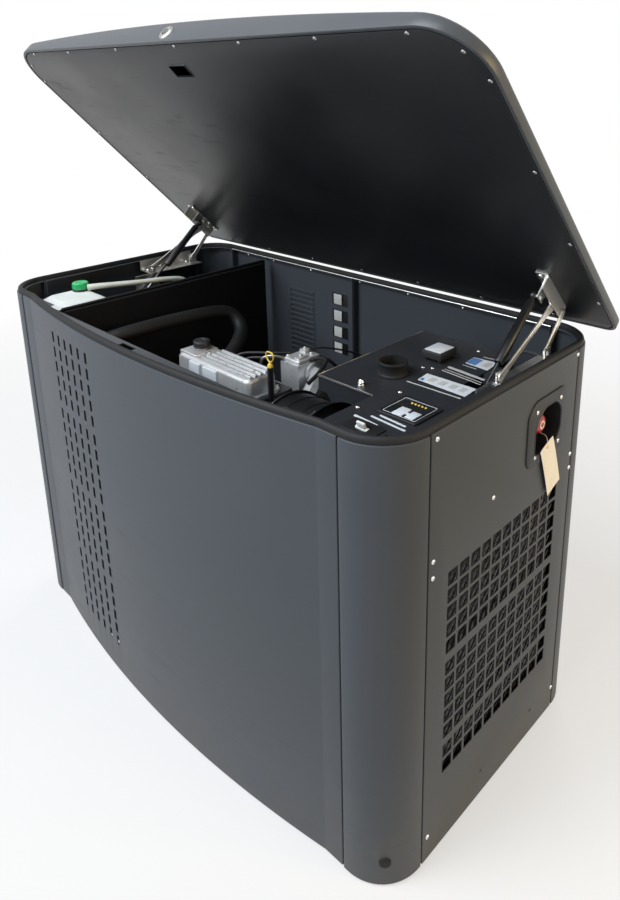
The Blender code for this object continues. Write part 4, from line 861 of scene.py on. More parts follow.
def archTree():    # a flat grid bent into an arched sheet with rounded corners
    tree = bpy.data.node_groups.new("archedLid", "GeometryNodeTree")
    for label, kind in (("Half Length", "Float"), ("Depth", "Float"), ("Crown", "Float"),
            ("Fall", "Float"), ("Front Radius", "Float"), ("Rear Radius", "Float"),
            ("Edge", "Float"), ("Columns", "Int"), ("Rows", "Int"), ("Finish", "Material")):
        tree.interface.new_socket(label, in_out="INPUT", socket_type="NodeSocket" + kind)
    tree.interface.new_socket("Result", in_out="OUTPUT", socket_type="NodeSocketGeometry")
    source = tree.nodes.new("NodeGroupInput")
    given = {s.name: Wire(tree, s) for s in source.outputs if s.name}
    grid = make(tree, "GeometryNodeMeshGrid", {}, {"Size X": 2.0, "Size Y": 1.0,
        "Vertices X": given["Columns"], "Vertices Y": given["Rows"]})
    place = make(tree, "GeometryNodeInputPosition")
    split = [make(tree, "ShaderNodeSeparateXYZ", {}, {0: place}, i) for i in (0, 1)]
    edge = given["Edge"]
    half = given["Half Length"] - edge
    x = half * (split[0] * (math.pi / 2)).math("SINE")

    def ends(radius):    # how far the rounded corner pulls the edge in at this x
        r = radius - edge
        over = (abs(x) - (half - r)).math("MAXIMUM", 0.0)
        return r - (r * r - over * over).math("MAXIMUM", 0.0).math("SQRT")
    front = edge - given["Depth"] + ends(given["Front Radius"])
    back = 0.0 - edge - ends(given["Rear Radius"])
    y = front + (split[1] + 0.5) * (back - front)
    z = given["Crown"] - given["Fall"] * x * x
    moved = make(tree, "GeometryNodeSetPosition", {}, {"Geometry": grid,
        "Position": make(tree, "ShaderNodeCombineXYZ", {}, {0: x, 1: y, 2: z})})
    real = make(tree, "GeometryNodeRealizeInstances", {}, {0: moved})
    coloured = make(tree, "GeometryNodeSetMaterial", {}, {"Geometry": real,
        "Material": given["Finish"]})
    result = tree.nodes.new("NodeGroupOutput")
    tree.links.new(coloured.socket, result.inputs[0])
    return tree


def buildLid():
    spec = lid
    host = bpy.data.objects.new("lidTop", bpy.data.meshes.new("lidTop"))
    bpy.context.scene.collection.objects.link(host)
    mod = host.modifiers.new("arch", "NODES")
    mod.node_group = archTree()
    setInputs(mod, {"Half Length": spec["half"], "Depth": spec["depth"], "Crown": spec["crown"],
        "Fall": spec["fall"], "Front Radius": spec["frontR"], "Rear Radius": spec["rearR"],
        "Edge": spec["edgeR"], "Columns": spec["columns"], "Rows": spec["rows"],
        "Finish": mat("lidPaint")})
    host.update_tag()
    top = applied(host)
    bm = bmesh.new()
    bm.from_mesh(top.data)
    bpy.data.objects.remove(top, do_unlink=True)
    bmesh.ops.remove_doubles(bm, verts=bm.verts, dist=1e-5)
    if sum(f.normal.z for f in bm.faces) < 0:
        bmesh.ops.reverse_faces(bm, faces=bm.faces)
    start = next(v for v in bm.verts if v.is_boundary)
    loop, before = [start], None
    while True:    # the rim, in order
        steps = [e.other_vert(loop[-1]) for e in loop[-1].link_edges if e.is_boundary]
        ahead = [v for v in steps if v != before]
        before = loop[-1]
        if ahead[0] == start:
            break
        loop.append(ahead[0])
    rim = [v.co.copy() for v in loop]
    center = sum(rim, Vector()) / len(rim)
    outward = []
    for i, point in enumerate(rim):
        along = rim[(i + 1) % len(rim)] - rim[i - 1]
        side = Vector((along.y, -along.x, 0)).normalized()
        outward.append(side if side.dot(point - center) > 0 else -side)
    inner = [bm.verts.new(v.co - Vector((0, 0, sheet))) for v in bm.verts[:]]
    bm.verts.ensure_lookup_table()
    index = {v: inner[i] for i, v in enumerate(bm.verts[:len(inner)])}
    for face in list(bm.faces):
        bm.faces.new([index[v] for v in reversed(face.verts)])
    r, flange = spec["edgeR"], spec["flange"]
    steps = [(r * math.sin(a), -r * (1 - math.cos(a))) for a in [math.radians(15 * k)
        for k in range(1, 7)]]
    profile = [(o, None, d) for o, d in steps] + [(r, 0.0016, 0), (r - 0.0005, 0.0004, 0),
        (r - 0.0016, 0, 0), (r - flange + 0.0008, 0, 0), (r - flange, 0.0006, 0),
        (r - flange, 0.002, 0), (r - sheet, 0.0022, 0), (r - sheet, None, -r),
        (r * 0.3, None, -r * 0.5)]
    rings = [loop]
    for offset, height, below in profile:
        rings.append([bm.verts.new((p.x + n.x * offset, p.y + n.y * offset,
            p.z + below if height is None else height)) for p, n in zip(rim, outward)])
    rings.append([index[v] for v in loop])
    for a, b in zip(rings, rings[1:]):
        for i in range(len(a)):
            j = (i + 1) % len(a)
            bm.faces.new((a[i], b[i], b[j], a[j]))
    done(addMesh("lid_skin", bm, lidFrame), "lid", "lidPaint", "lid_shell", angle=40)

    def outline(inset):
        half, depth, frontR, rearR = spec["half"], spec["depth"], spec["frontR"], spec["rearR"]
        return (arc((half - frontR, -depth + frontR), frontR - inset, -90, 0,
            24) + arc((half - rearR, -rearR), rearR - inset, 0, 90,
            10) + arc((-half + rearR, -rearR), rearR - inset, 90, 180,
            10) + arc((-half + frontR, -depth + frontR), frontR - inset, 180, 270, 24))
    liner = plate("lid_underside", outline(0.009), 0.0006, 0.0044, radius=0.0014, segments=3)
    x0, x1, s0, s1 = spec["latch"]
    liner = boolean(liner, plate("latchOpening", roundBox((x0, -s1), (x1, -s0), 0.003, 5), -0.01,
        0.01, radius=0))
    liner.data.transform(lidFrame)
    done(liner, "lid", "linerPaint", "lid_liner")
    ring = loft("latch_opening_rim", [[(x, y, z) for x, y in roundBox((x0 - o, -s1 - o),
        (x1 + o, -s0 + o), 0.003 + o, 5)] for o, z in ((0, 0.003), (0, -0.0004), (0.0016, -0.0008),
        (0.003, 0.0006), (0.003, 0.003))], True, lidFrame)
    done(ring, "lid", "linerPaint", angle=50)
    edge = spec["half"] - 0.016
    spots = [(x, spec["depth"] - 0.015) for x in (-0.412, -0.2, 0.018, 0.215, 0.405, 0.59, -0.59)]
    spots += [(sx * (edge - 0.02), spec["depth"] - 0.052) for sx in (-1, 1)]
    spots += [(sx * edge, s) for sx in (-1, 1) for s in (0.708, 0.51, 0.311, 0.11)]
    spots += [(x, 0.016) for x in (-0.56, -0.377, -0.19, 0.0, 0.19, 0.377, 0.56)]
    down = lidFrame.to_3x3() @ Vector((0, 0, -1))
    screws("lid_screws", [(lidFrame @ Vector((x, -s, 0.0008)), down, xAxis) for x, s in spots],
        "lid", 0.004, 0.0018, "steel")


def buildLock():
    front = lidFrame @ Matrix.Translation((lid["lockX"], -lid["depth"],
        lid["lockH"])) @ Matrix.Rotation(math.pi / 2, 4,
        "X")  # local +Z leaves the front of the lid
    body = lathe("lid_lock_body", [(0.0079, 0.005), (0.012, 0.0048), (0.0155, 0.0036),
        (0.017, 0.0014), (0.0172, 0.0002), (0.0105, 0.0002), (0.0105, -0.012), (0.0112, -0.013),
        (0.0112, -0.018), (0.0105, -0.019), (0.0105, -0.064), (0.0079, -0.064)], (0, 0, 0),
        steps=48, frameMatrix=front)
    foot = slab("lockFoot", (-0.012, -0.0171, -0.05), (0.012, -0.01, -0.02), 0.001, 2, front)
    done(boolean(body, foot, "UNION"), "lid", "steel", "lock_body", angle=50,
        slotName="bright_metal")
    cylinder = lathe("lid_lock_cylinder", [(0, 0.0022), (0.0066, 0.0022), (0.0076, 0.0014),
        (0.0076, -0.0768), (0, -0.0768)], (0, 0, 0), steps=40, frameMatrix=front)
    slot = slab("keySlot", (-0.0008, -0.004, -0.002), (0.0008, 0.004, 0.006), 0, 1, front)
    cylinder = boolean(cylinder, slot)
    camDepth = 0.0735
    cam = slab("lockCam", (-0.0408, -0.0058, -camDepth - 0.0028),
        (0.0058, 0.0058, -camDepth - 0.0002), 0.0008, 2, front)
    done(boolean(cylinder, cam, "UNION"), "lock_cylinder", "steel", "lock_cylinder", angle=50,
        slotName="bright_metal")


# ---- hinges and gas struts
hinge = {"x": halfLen - 0.079, "pivotA": (halfDepth - 0.288, panelTop - 0.0184),
    "pivotB": (halfDepth - 0.1346, panelTop - 0.0129), "pivotG": (halfDepth - 0.3378,
    panelTop - 0.0784), "lidC": (0.1105, -0.0227), "lidD": (0.0746, -0.0177),
    "lidS": (0.1455, -0.0298), "strutLean": 0.012, "eyeR": 0.009}


def onLid(s, h):    # (y, z) of a lid point at rest
    place = lidFrame @ Vector((0, -s, h))
    return (place.y, place.z)


def linkOutline(start, end, r0, r1, waist):
    direction = math.degrees(math.atan2(end[1] - start[1], end[0] - start[0]))
    a, b = Vector(start), Vector(end)
    normal = Vector((-(b - a).y, (b - a).x)).normalized()
    near, far = a.lerp(b, 0.16), a.lerp(b, 0.84)
    side = [tuple(far + normal * waist), tuple(a.lerp(b, 0.5) + normal * waist * 0.94),
        tuple(near + normal * waist)]
    other = [tuple(near - normal * waist), tuple(a.lerp(b, 0.5) - normal * waist * 0.94),
        tuple(far - normal * waist)]
    return (arc(end, r1, direction - 90, direction + 90, 20) + side + arc(start, r0, direction + 90,
        direction + 270, 20) + other)


def buildHinge(tag, side):
    spec = hinge
    c, d, s = onLid(*spec["lidC"]), onLid(*spec["lidD"]), onLid(*spec["lidS"])

    def span(a, b):
        return sorted((side * (spec["x"] + a), side * (spec["x"] + b)))

    def link(name, start, end, r0, r1, low, bore, endBore, node):
        x0, x1 = span(low, low + 0.004)
        arm = plate(name, linkOutline(start, end, r0, r1, 0.0062), x0, x1, "X", 0.0009, 3)
        for at, r in ((start, bore), (end, endBore)):
            hole = rod("bore", r, -0.01, 0.01, ((x0 + x1) / 2, *at), "X", 32)
            arm = boolean(arm, hole)
        done(arm, node, "zinc", node)
    link(f"arm_front_{tag}", spec["pivotA"], c, 0.009, 0.012, 0.013, 0.0043, 0.0078,
        f"front_arm_{tag}")
    link(f"arm_rear_{tag}", spec["pivotB"], d, 0.009, 0.0065, 0.021, 0.0043, 0.0043,
        f"rear_arm_{tag}")

    head = lathe("pinHead", [(0, 0.0028), (0.0026, 0.0028), (0.003, 0.0022), (0.0042, 0.002),
        (0.006, 0.0012), (0.0064, 0), (0, 0)], (0, 0, 0), steps=20)
    inner, outer = (-side, 0, 0), (side, 0, 0)
    base = [((side * (spec["x"] + 0.0095), *spec["pivotA"]), inner, zAxis),
        ((side * (spec["x"] + 0.0285), *spec["pivotB"]), outer, zAxis),
        ((side * (spec["x"] + 0.003), *spec["pivotG"]), outer, zAxis)]
    spread(f"base_rivets_{tag}", head, base, main, "zinc", keep=True)
    ears = [((side * (spec["x"] + 0.003), *s), outer, zAxis)]
    spread(f"lid_rivets_{tag}", head, ears, "lid", "zinc")
    down = lidFrame.to_3x3() @ Vector((0, 0, -1))
    bolts = [(lidFrame @ Vector((side * (spec["x"] + 0.002), -place, -0.0025)), down, xAxis)
        for place in (0.078, 0.104, 0.182)]
    screws(f"lid_bracket_bolts_{tag}", bolts, "lid", 0.005, 0.003, "zinc")
    feet = [((side * (spec["x"] + 0.045), place, deckTop + 0.0025), zAxis, xAxis)
        for place in (0.062, 0.12, 0.2)]
    screws(f"base_bracket_bolts_{tag}", feet, main, 0.0058, 0.0034, "zinc")

    (sy, sz), (gy, gz) = s, spec["pivotG"]
    lean = math.atan2(sz - gz, sy - gy) + spec["strutLean"]
    eyeR = spec["eyeR"]
    length, middle = math.dist(s, spec["pivotG"]), side * (spec["x"] - 0.013)

    def strut(name, profile, at, node, finishName):
        turn = Matrix.Translation((middle, *at)) @ Matrix.Rotation(lean - math.pi / 2, 4, "X")
        shaft = lathe(name, profile, (0, 0, 0), steps=40, frameMatrix=turn)
        eye = lathe("eye", [(0, -0.005), (eyeR - 0.001, -0.005), (eyeR, -0.004), (eyeR, 0.004),
            (eyeR - 0.001, 0.005), (0, 0.005)], (middle, *at), "X", 40)
        bore = rod("eyeBore", 0.0043, -0.02, 0.02, (middle, *at), "X", 32)
        done(boolean(boolean(shaft, eye, "UNION"), bore), node, finishName, node, angle=45)
    strut(f"gas_rod_{tag}", [(0, 0.0062), (0.0052, 0.0062), (0.0052, 0.015), (0.0046, 0.0165),
        (0.0035, 0.0172), (0.0035, length - 0.057), (0.0028, length - 0.056), (0, length - 0.056)],
        spec["pivotG"], f"strut_rod_{tag}", "darkChrome")
    strut(f"gas_tube_{tag}", [(0, -0.0062), (0.0055, -0.0062), (0.0058, -0.013), (0.0088, -0.0155),
        (0.0092, -0.017), (0.0092, -0.078), (0.0099, -0.08), (0.0099, -0.161), (0.0096, -0.164),
        (0.0087, -0.165), (0.0087, -0.14), (0.0087, -0.017), (0, -0.017)], s, f"strut_tube_{tag}",
        "blackPaint")


# ---- control deck
deck = {"controller": (halfLen - 0.116, -0.151), "breaker": (halfLen - 0.133, -0.255),
    "key": (halfLen - 0.059, -0.275), "intake": (halfLen - 0.245, -0.044),
    "relay": (halfLen - 0.2245, 0.08), "screws": ((0.479, 0.167), (0.462, 0.029), (0.445, 0.02),
    (0.486, -0.102), (0.47, -0.2), (0.56, -0.298))}


def labelPlate(name, corners, low=deckTop, thick=0.0006, radius=0.002):
    return plate(name, rounded(corners, radius, 4), low, low + thick, radius=0.0002, segments=1)


def buildDeck():
    spec, top = deck, deckTop
    cx, cy = spec["controller"]
    bezel = plate("controller_frame", boxAt(cx, cy, 0.0428, 0.0408, 0.005, 6), top + 0.0003,
        top + 0.0043, radius=0.0011, segments=3)
    glassBed = plate("bed", boxAt(cx, cy, 0.0375, 0.0355, 0.003, 6), top + 0.0031, top + 0.01,
        radius=0)
    done(boolean(bezel, glassBed), main, "blackPlastic", "controller")
    face = plate("controller_face", boxAt(cx, cy, 0.037, 0.035, 0.003, 6), top + 0.0003,
        top + 0.0036, radius=0.0004)
    body = slab("controller_body", (cx - 0.0362, cy - 0.0342, top - 0.04),
        (cx + 0.0362, cy + 0.0342, top + 0.001), 0.002)
    done(merged("controller_case", [face, body]), main, "plateDark")
    blocks = [slab(f"block{i}", (cx + x0, cy + y0, top + 0.0032), (cx + x1, cy + y1, top + 0.0056),
        0.0008) for i, (x0, x1, y0, y1) in enumerate(((-0.015, 0.006, -0.033, -0.002),
        (0.012, 0.03, -0.031, -0.005), (0.006, 0.012, -0.021, -0.015)))]
    done(merged("controller_keys", blocks), main, "platePale")
    frameLine = loft("controller_line", [[(x, y, z) for x, y in roundBox((cx - r, cy - r + 0.002),
        (cx + r, cy + r - 0.002), 0.003, 5)] for r, z in ((0.0345, top + 0.0034),
        (0.0345, top + 0.004), (0.0353, top + 0.004), (0.0353, top + 0.0034))])
    done(frameLine, main, "platePale")
    lamp = lathe("lamp", [(0, 0.0018), (0.0016, 0.0015), (0.0024, 0.0005), (0.0026, 0), (0, 0)],
        (0, 0, 0), steps=16)
    lamps = [((cx - 0.012 + 0.0075 * i, cy + 0.0215, top + 0.0034), zAxis, xAxis) for i in range(5)]
    spread("controller_lamps", lamp, lamps, main, "yellowPlastic")

    bx, by = spec["breaker"]
    flange = plate("breaker_frame", boxAt(bx, by, 0.0338, 0.0218, 0.004, 5), top + 0.0003,
        top + 0.0033, radius=0.0009, segments=3)
    case = slab("breakerCase", (bx - 0.0293, by - 0.0163, top - 0.045),
        (bx + 0.0293, by + 0.0163, top + 0.001), 0.002)
    well = plate("breakerWell", boxAt(bx, by, 0.0142, 0.0102, 0.0015, 3), top - 0.008, top + 0.012,
        radius=0)
    done(boolean(boolean(flange, case, "UNION"), well), main, "blackPlastic", "breaker_body")
    turn = Matrix.Translation((bx, by, top)) @ Matrix.Rotation(math.radians(20), 4, "X")
    barrel = lathe("toggleBarrel", [(0, -0.0136), (0.0042, -0.0136), (0.0045, -0.0132),
        (0.0045, 0.0132), (0.0042, 0.0136), (0, 0.0136)], (0, 0, 0), "X", 32, frameMatrix=turn)
    lever = slab("toggleLever", (-0.0088, -0.0024, 0.001), (0.0088, 0.0024, 0.0149), 0.0009, 2,
        turn)
    done(boolean(barrel, lever, "UNION"), "breaker_toggle", "whitePlastic", "breaker_toggle")

    strips = [((0.487, -0.227), (0.543, -0.231), 0.003), ((0.511, -0.2105), (0.59, -0.2145),
        0.0022), ((0.521, -0.1985), (0.581, -0.202), 0.0022)]
    bars = []
    for i, ((x0, y0), (x1, y1), half) in enumerate(strips):
        bars.append(labelPlate(f"bar{i}", [(x0, y0 - half), (x1, y1 - half), (x1, y1 + half),
            (x0, y0 + half)], top, 0.0009, half * 0.95))
    done(merged("deck_pale_strips", bars), main, "platePale")
    one = labelPlate("plateOne", [(0.4755, -0.036), (0.5865, -0.0395), (0.5835, 0.0025),
        (0.4705, 0.0)])
    two = labelPlate("plateTwo", [(0.495, 0.094), (0.55, 0.0905), (0.546, 0.137), (0.4915, 0.131)])
    done(merged("deck_label_plates", [one, two]), main, "platePale")
    blues = [labelPlate(f"blue{i}", c, top + 0.0006, 0.0003, 0.001) for i,
        c in enumerate(([(0.4955, 0.0965), (0.518, 0.0955), (0.515, 0.1295), (0.493, 0.128)],
        [(0.4775, -0.0335), (0.486, -0.0338), (0.483, -0.023), (0.476, -0.023)]))]
    done(merged("deck_label_blue", blues), main, "plateBlue")
    greys = []
    for i, (x, y, w, h) in enumerate(((0.498, -0.019, 0.014, 0.02), (0.522, -0.019, 0.014, 0.02),
            (0.546, -0.019, 0.014, 0.02), (0.568, -0.019, 0.012, 0.02),
            (0.535, 0.113, 0.013, 0.026))):
        greys.append(labelPlate(f"grey{i}", [(x - w / 2, y - h / 2), (x + w / 2, y - h / 2),
            (x + w / 2, y + h / 2), (x - w / 2, y + h / 2)], top + 0.0006, 0.0003, 0.001))
    done(merged("deck_label_fields", greys), main, "filterPaint", slotName="steel")
    lines = [((0.464, -0.055), (0.586, -0.051), 0.0016), ((0.482, 0.033), (0.578, 0.024), 0.0014),
        ((0.481, 0.055), (0.572, 0.047), 0.0042), ((0.505, 0.146), (0.55, 0.15), 0.0012),
        ((0.483, 0.041), (0.575, 0.033), 0.001), ((0.497, 0.083), (0.53, 0.082), 0.001)]
    rules = [labelPlate(f"rule{i}", [(x0, y0 - h), (x1, y1 - h), (x1, y1 + h), (x0, y0 + h)], top,
        0.0005, h * 0.9) for i, ((x0, y0), (x1, y1), h) in enumerate(lines)]
    done(merged("deck_rules", rules), main, "filterPaint", slotName="steel")

    rx, ry = spec["relay"]
    relay = slab("relay_case", (rx - 0.024, ry - 0.0285, top + 0.0062),
        (rx + 0.024, ry + 0.0285, top + 0.022), 0.0016, 3)
    feet = [rod(f"foot{i}{j}", 0.003, 0, 0.0068, (rx + 0.0175 * i, ry + 0.022 * j, top + 0.0003),
        steps=16) for i in (-1, 1) for j in (-1, 1)]
    done(merged("relay_case", [relay] + feet), main, "blackPlastic", "relay_box")
    cover = plate("relay_cover", boxAt(rx, ry, 0.0205, 0.0245, 0.002, 4), top + 0.0216,
        top + 0.0228, radius=0.0004)
    done(cover, main, "platePale")

    ix, iy = spec["intake"]
    pipe = lathe("intake_pipe", [(0.0241, 0.0275), (0.0286, 0.0275), (0.0294, 0.0265),
        (0.0294, 0.0232), (0.0288, 0.0224), (0.0288, 0.006), (0.03, 0.0034), (0.0328, 0.0026),
        (0.033, 0.0002), (0.0241, 0.0002)], (ix, iy, top + 0.0003), steps=64)
    done(pipe, main, "rubber", "intake_tube", angle=50)

    kx, ky = spec["key"]
    barrel = lathe("key_barrel", [(0.0046, 0.006), (0.0092, 0.006), (0.0106, 0.0048),
        (0.011, 0.003), (0.011, 0.0002), (0.008, 0.0002), (0.008, -0.025), (0.0046, -0.025)],
        (kx, ky, top + 0.0003), steps=48)
    done(barrel, main, "chrome", "key_switch", angle=50)
    blade = rod("keyBlade", 0.004, -0.02, 0.0072, (kx, ky, top), steps=24)
    bow = plate("keyBow", roundBox((kx - 0.0114, top + 0.0069), (kx + 0.0114, top + 0.0219), 0.0062,
        8), -ky - 0.0014, -ky + 0.0014, "Y", 0.0005)
    hole = rod("keyHole", 0.0022, -0.01, 0.01, (kx, ky, top + 0.0172), "Y", 24)
    done(boolean(boolean(blade, bow, "UNION"), hole), "key", "chrome", "key")

    screws("deck_screws", [((x, y, top), zAxis, xAxis) for x, y in spec["screws"]], main, 0.0042,
        0.0024)
    dome = lathe("deck_dome_nut", [(0, 0.013), (0.0022, 0.0125), (0.0042, 0.0108), (0.0052, 0.0085),
        (0.0056, 0.006), (0.0062, 0.0056), (0.0062, 0.002), (0.008, 0.0018), (0.008, 0.0002),
        (0, 0.0002)], (0.411, -0.126, top), steps=24)
    done(dome, main, "chrome", angle=50)
    # bright zinc strips on the deck's front and left edges: painted highlights of those edges, made
    # as bare metal
    trim = slab("deck_bare_edge", (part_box("control_deck")[0].x + 0.0003, -0.1472, top - 0.003),
        (0.4572, -0.1444, top + 0.0012), 0.0005)
    side = slab("side_edge", (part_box("control_deck")[0].x - 0.001, -0.144, top - 0.0022),
        (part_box("control_deck")[0].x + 0.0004, 0.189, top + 0.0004), 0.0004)
    done(merged("deck_edge_trim", [trim, side]), main, "zinc", slotName="bright_metal")


# ---- cooling side, behind the partition
cooling = {"x": -0.4, "tank": ((-0.6, -0.3), (-0.43, -0.15)), "neck": (-0.555, -0.19),
    "hoseR": 0.0188, "overflowR": 0.0058}


def buildCooling():
    spec, px = cooling, cooling["x"]
    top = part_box("partition_wall")[1].z
    pad = plate("partition_foam", rounded([(-0.316, top - 0.004), (-0.316, 0.812), (-0.24, 0.812),
        (-0.24, 0.545), (0.316, 0.545), (0.316, top - 0.004)][::-1], 0.006, 4), px + 0.0015,
        px + 0.013, "X", 0.003, 3)
    done(pad, main, "foam")
    trim = tube("partition_edge_trim", [(px + 0.001, y, top + 0.0005)
        for y in (-0.318, -0.1, 0.1, 0.318)], 0.0034, 10)
    done(trim, main, "sealRubber")

    (x0, y0), (x1, y1) = spec["tank"]
    high = heights("coolant_tank")[1]
    body = loft("coolant_bottle", [[(x, y, z) for x, y in roundBox((x0 + i, y0 + i),
        (x1 - i, y1 - i), 0.018, 6)] for i, z in ((0.008, 0.8008), (0.004, 0.803), (0.0015, 0.81),
        (0.0005, 0.818), (0.0022, 0.8184), (0.0022, 0.82), (0.0005, 0.8204), (0.0012, 0.85),
        (0.0035, 0.8545), (0.023, 0.869), (0.027, 0.871), (0.034, 0.8715))], False)
    nx, ny = spec["neck"]
    neck = lathe("bottleNeck", [(0, 0.85), (0.024, 0.85), (0.024, 0.869), (0.019, 0.871),
        (0.0168, 0.872), (0.0168, high - 0.001), (0, high - 0.001)], (nx, ny, 0), steps=48)
    done(boolean(body, neck, "UNION"), main, "whitePlastic", "coolant_tank", angle=50)

    capLow, capHigh = heights("coolant_cap")
    cap = lathe("coolant_bottle_cap", [(0, capHigh - 0.0016), (0.013, capHigh - 0.0016),
        (0.015, capHigh), (0.0188, capHigh - 0.0004), (0.0204, capHigh - 0.0022),
        (0.0206, capLow + 0.001), (0.02, capLow), (0, capLow)], (nx, ny, 0), steps=60)
    done(cap, "coolant_cap", "greenPlastic", "coolant_cap", angle=45)
    rib = slab("capRib", (-0.0009, -0.007, -0.0004), (0.0009, 0.007, 0.0009), 0.0004, 1)
    angles = [math.radians(12 * i) for i in range(30)]
    ribs = [((nx + 0.0206 * math.cos(a), ny + 0.0206 * math.sin(a),
        (capLow + capHigh) / 2 - 0.0005), (math.cos(a), math.sin(a), 0),
        (-math.sin(a), math.cos(a), 0)) for a in angles]
    spread("coolant_cap_ribs", rib, ribs, "coolant_cap", "greenPlastic")
    bridge = slab("coolant_cap_grip", (nx - 0.0135, ny - 0.0024, capHigh - 0.002),
        (nx + 0.0135, ny + 0.0024, capHigh - 0.0002), 0.0008)
    done(bridge, "coolant_cap", "greenPlastic")
    collar = lathe("bottle_collar", [(0.0172, 0.0034), (0.0212, 0.0034), (0.0218, 0.0024),
        (0.0218, 0), (0.0172, 0)], (nx, ny, capLow - 0.0038), steps=48)
    done(collar, main, "blackPlastic")

    rz = 0.8
    route = [(-.131, -.182, .0830), (-.116, -.160, .0845), (-.092, -.115, .0845),
        (-.068, -.055, .0830), (-.050, .010, .0810), (-.040, .055, .0730), (-.034, .062, .0540),
        (-.032, .025, .0350), (-.032, -.012, .0300)]
    run = smoothRun([(px + x, y, rz + z) for x, y, z in route])
    thick = [spec["overflowR"] + 0.0024 * max(0, 1 - i / (len(run) * 0.7)) for i in range(len(run))]
    hose = tube("overflow_line", run, thick, 16)
    done(hose, main, "clearHose", "overflow_hose", angle=60)
    fitting = lathe("overflow_fitting", [(0, 0.03), (0.008, 0.03), (0.0086, 0.026), (0.0086, 0.012),
        (0.012, 0.01), (0.012, 0.0005), (0, 0.0005)], (px - 0.032, -0.012, rz + 0.0005), steps=32)
    joint = lathe("overflow_joint", [(0, -0.012), (0.0068, -0.012), (0.0074, -0.01), (0.0074, 0.01),
        (0.0068, 0.012), (0, 0.012)], (px - 0.03, -0.018, rz + 0.0665), "Y", 32)
    done(merged("overflow_fitting", [fitting, joint]), main, "yellowPlastic", angle=45)
    line = [(-.020, -.270, -.020), (.010, -.270, -.020), (.036, -.264, -.014), (.065, -.240, 0),
        (.082, -.180, .008), (.088, -.060, .008), (.095, .070, 0), (.110, .115, -.020),
        (.145, .110, -.055), (.185, .040, -.090), (.205, -.040, -.104), (.235, -.100, -.110)]
    path = [p for p in smoothRun([(px + x, y, rz + z) for x, y, z in line])
        if px - 0.0008 < p.x < px + 0.23]
    done(tube("coolant_hose", path, spec["hoseR"], 28), main, "rubber", "radiator_hose", angle=60)
    band = lathe("clampBand", [(0.0189, -0.006), (0.0198, -0.006), (0.0203, -0.0052),
        (0.0203, 0.0052), (0.0198, 0.006), (0.0189, 0.006)], (0, 0, 0), steps=28)
    spots = []
    for index in (6, len(path) - 10):
        ahead = (path[index + 1] - path[index - 1]).normalized()
        spots.append((path[index], ahead, ahead.orthogonal().normalized()))
    spread("hose_clamps", band, spots, main, "steel", 50)


# ---- engine top
engine = {"cover": ((-0.155, -0.175), (0.125, -0.075)), "capAt": (-0.11, -0.12),
    "drumAt": (-0.135, 0.665)}


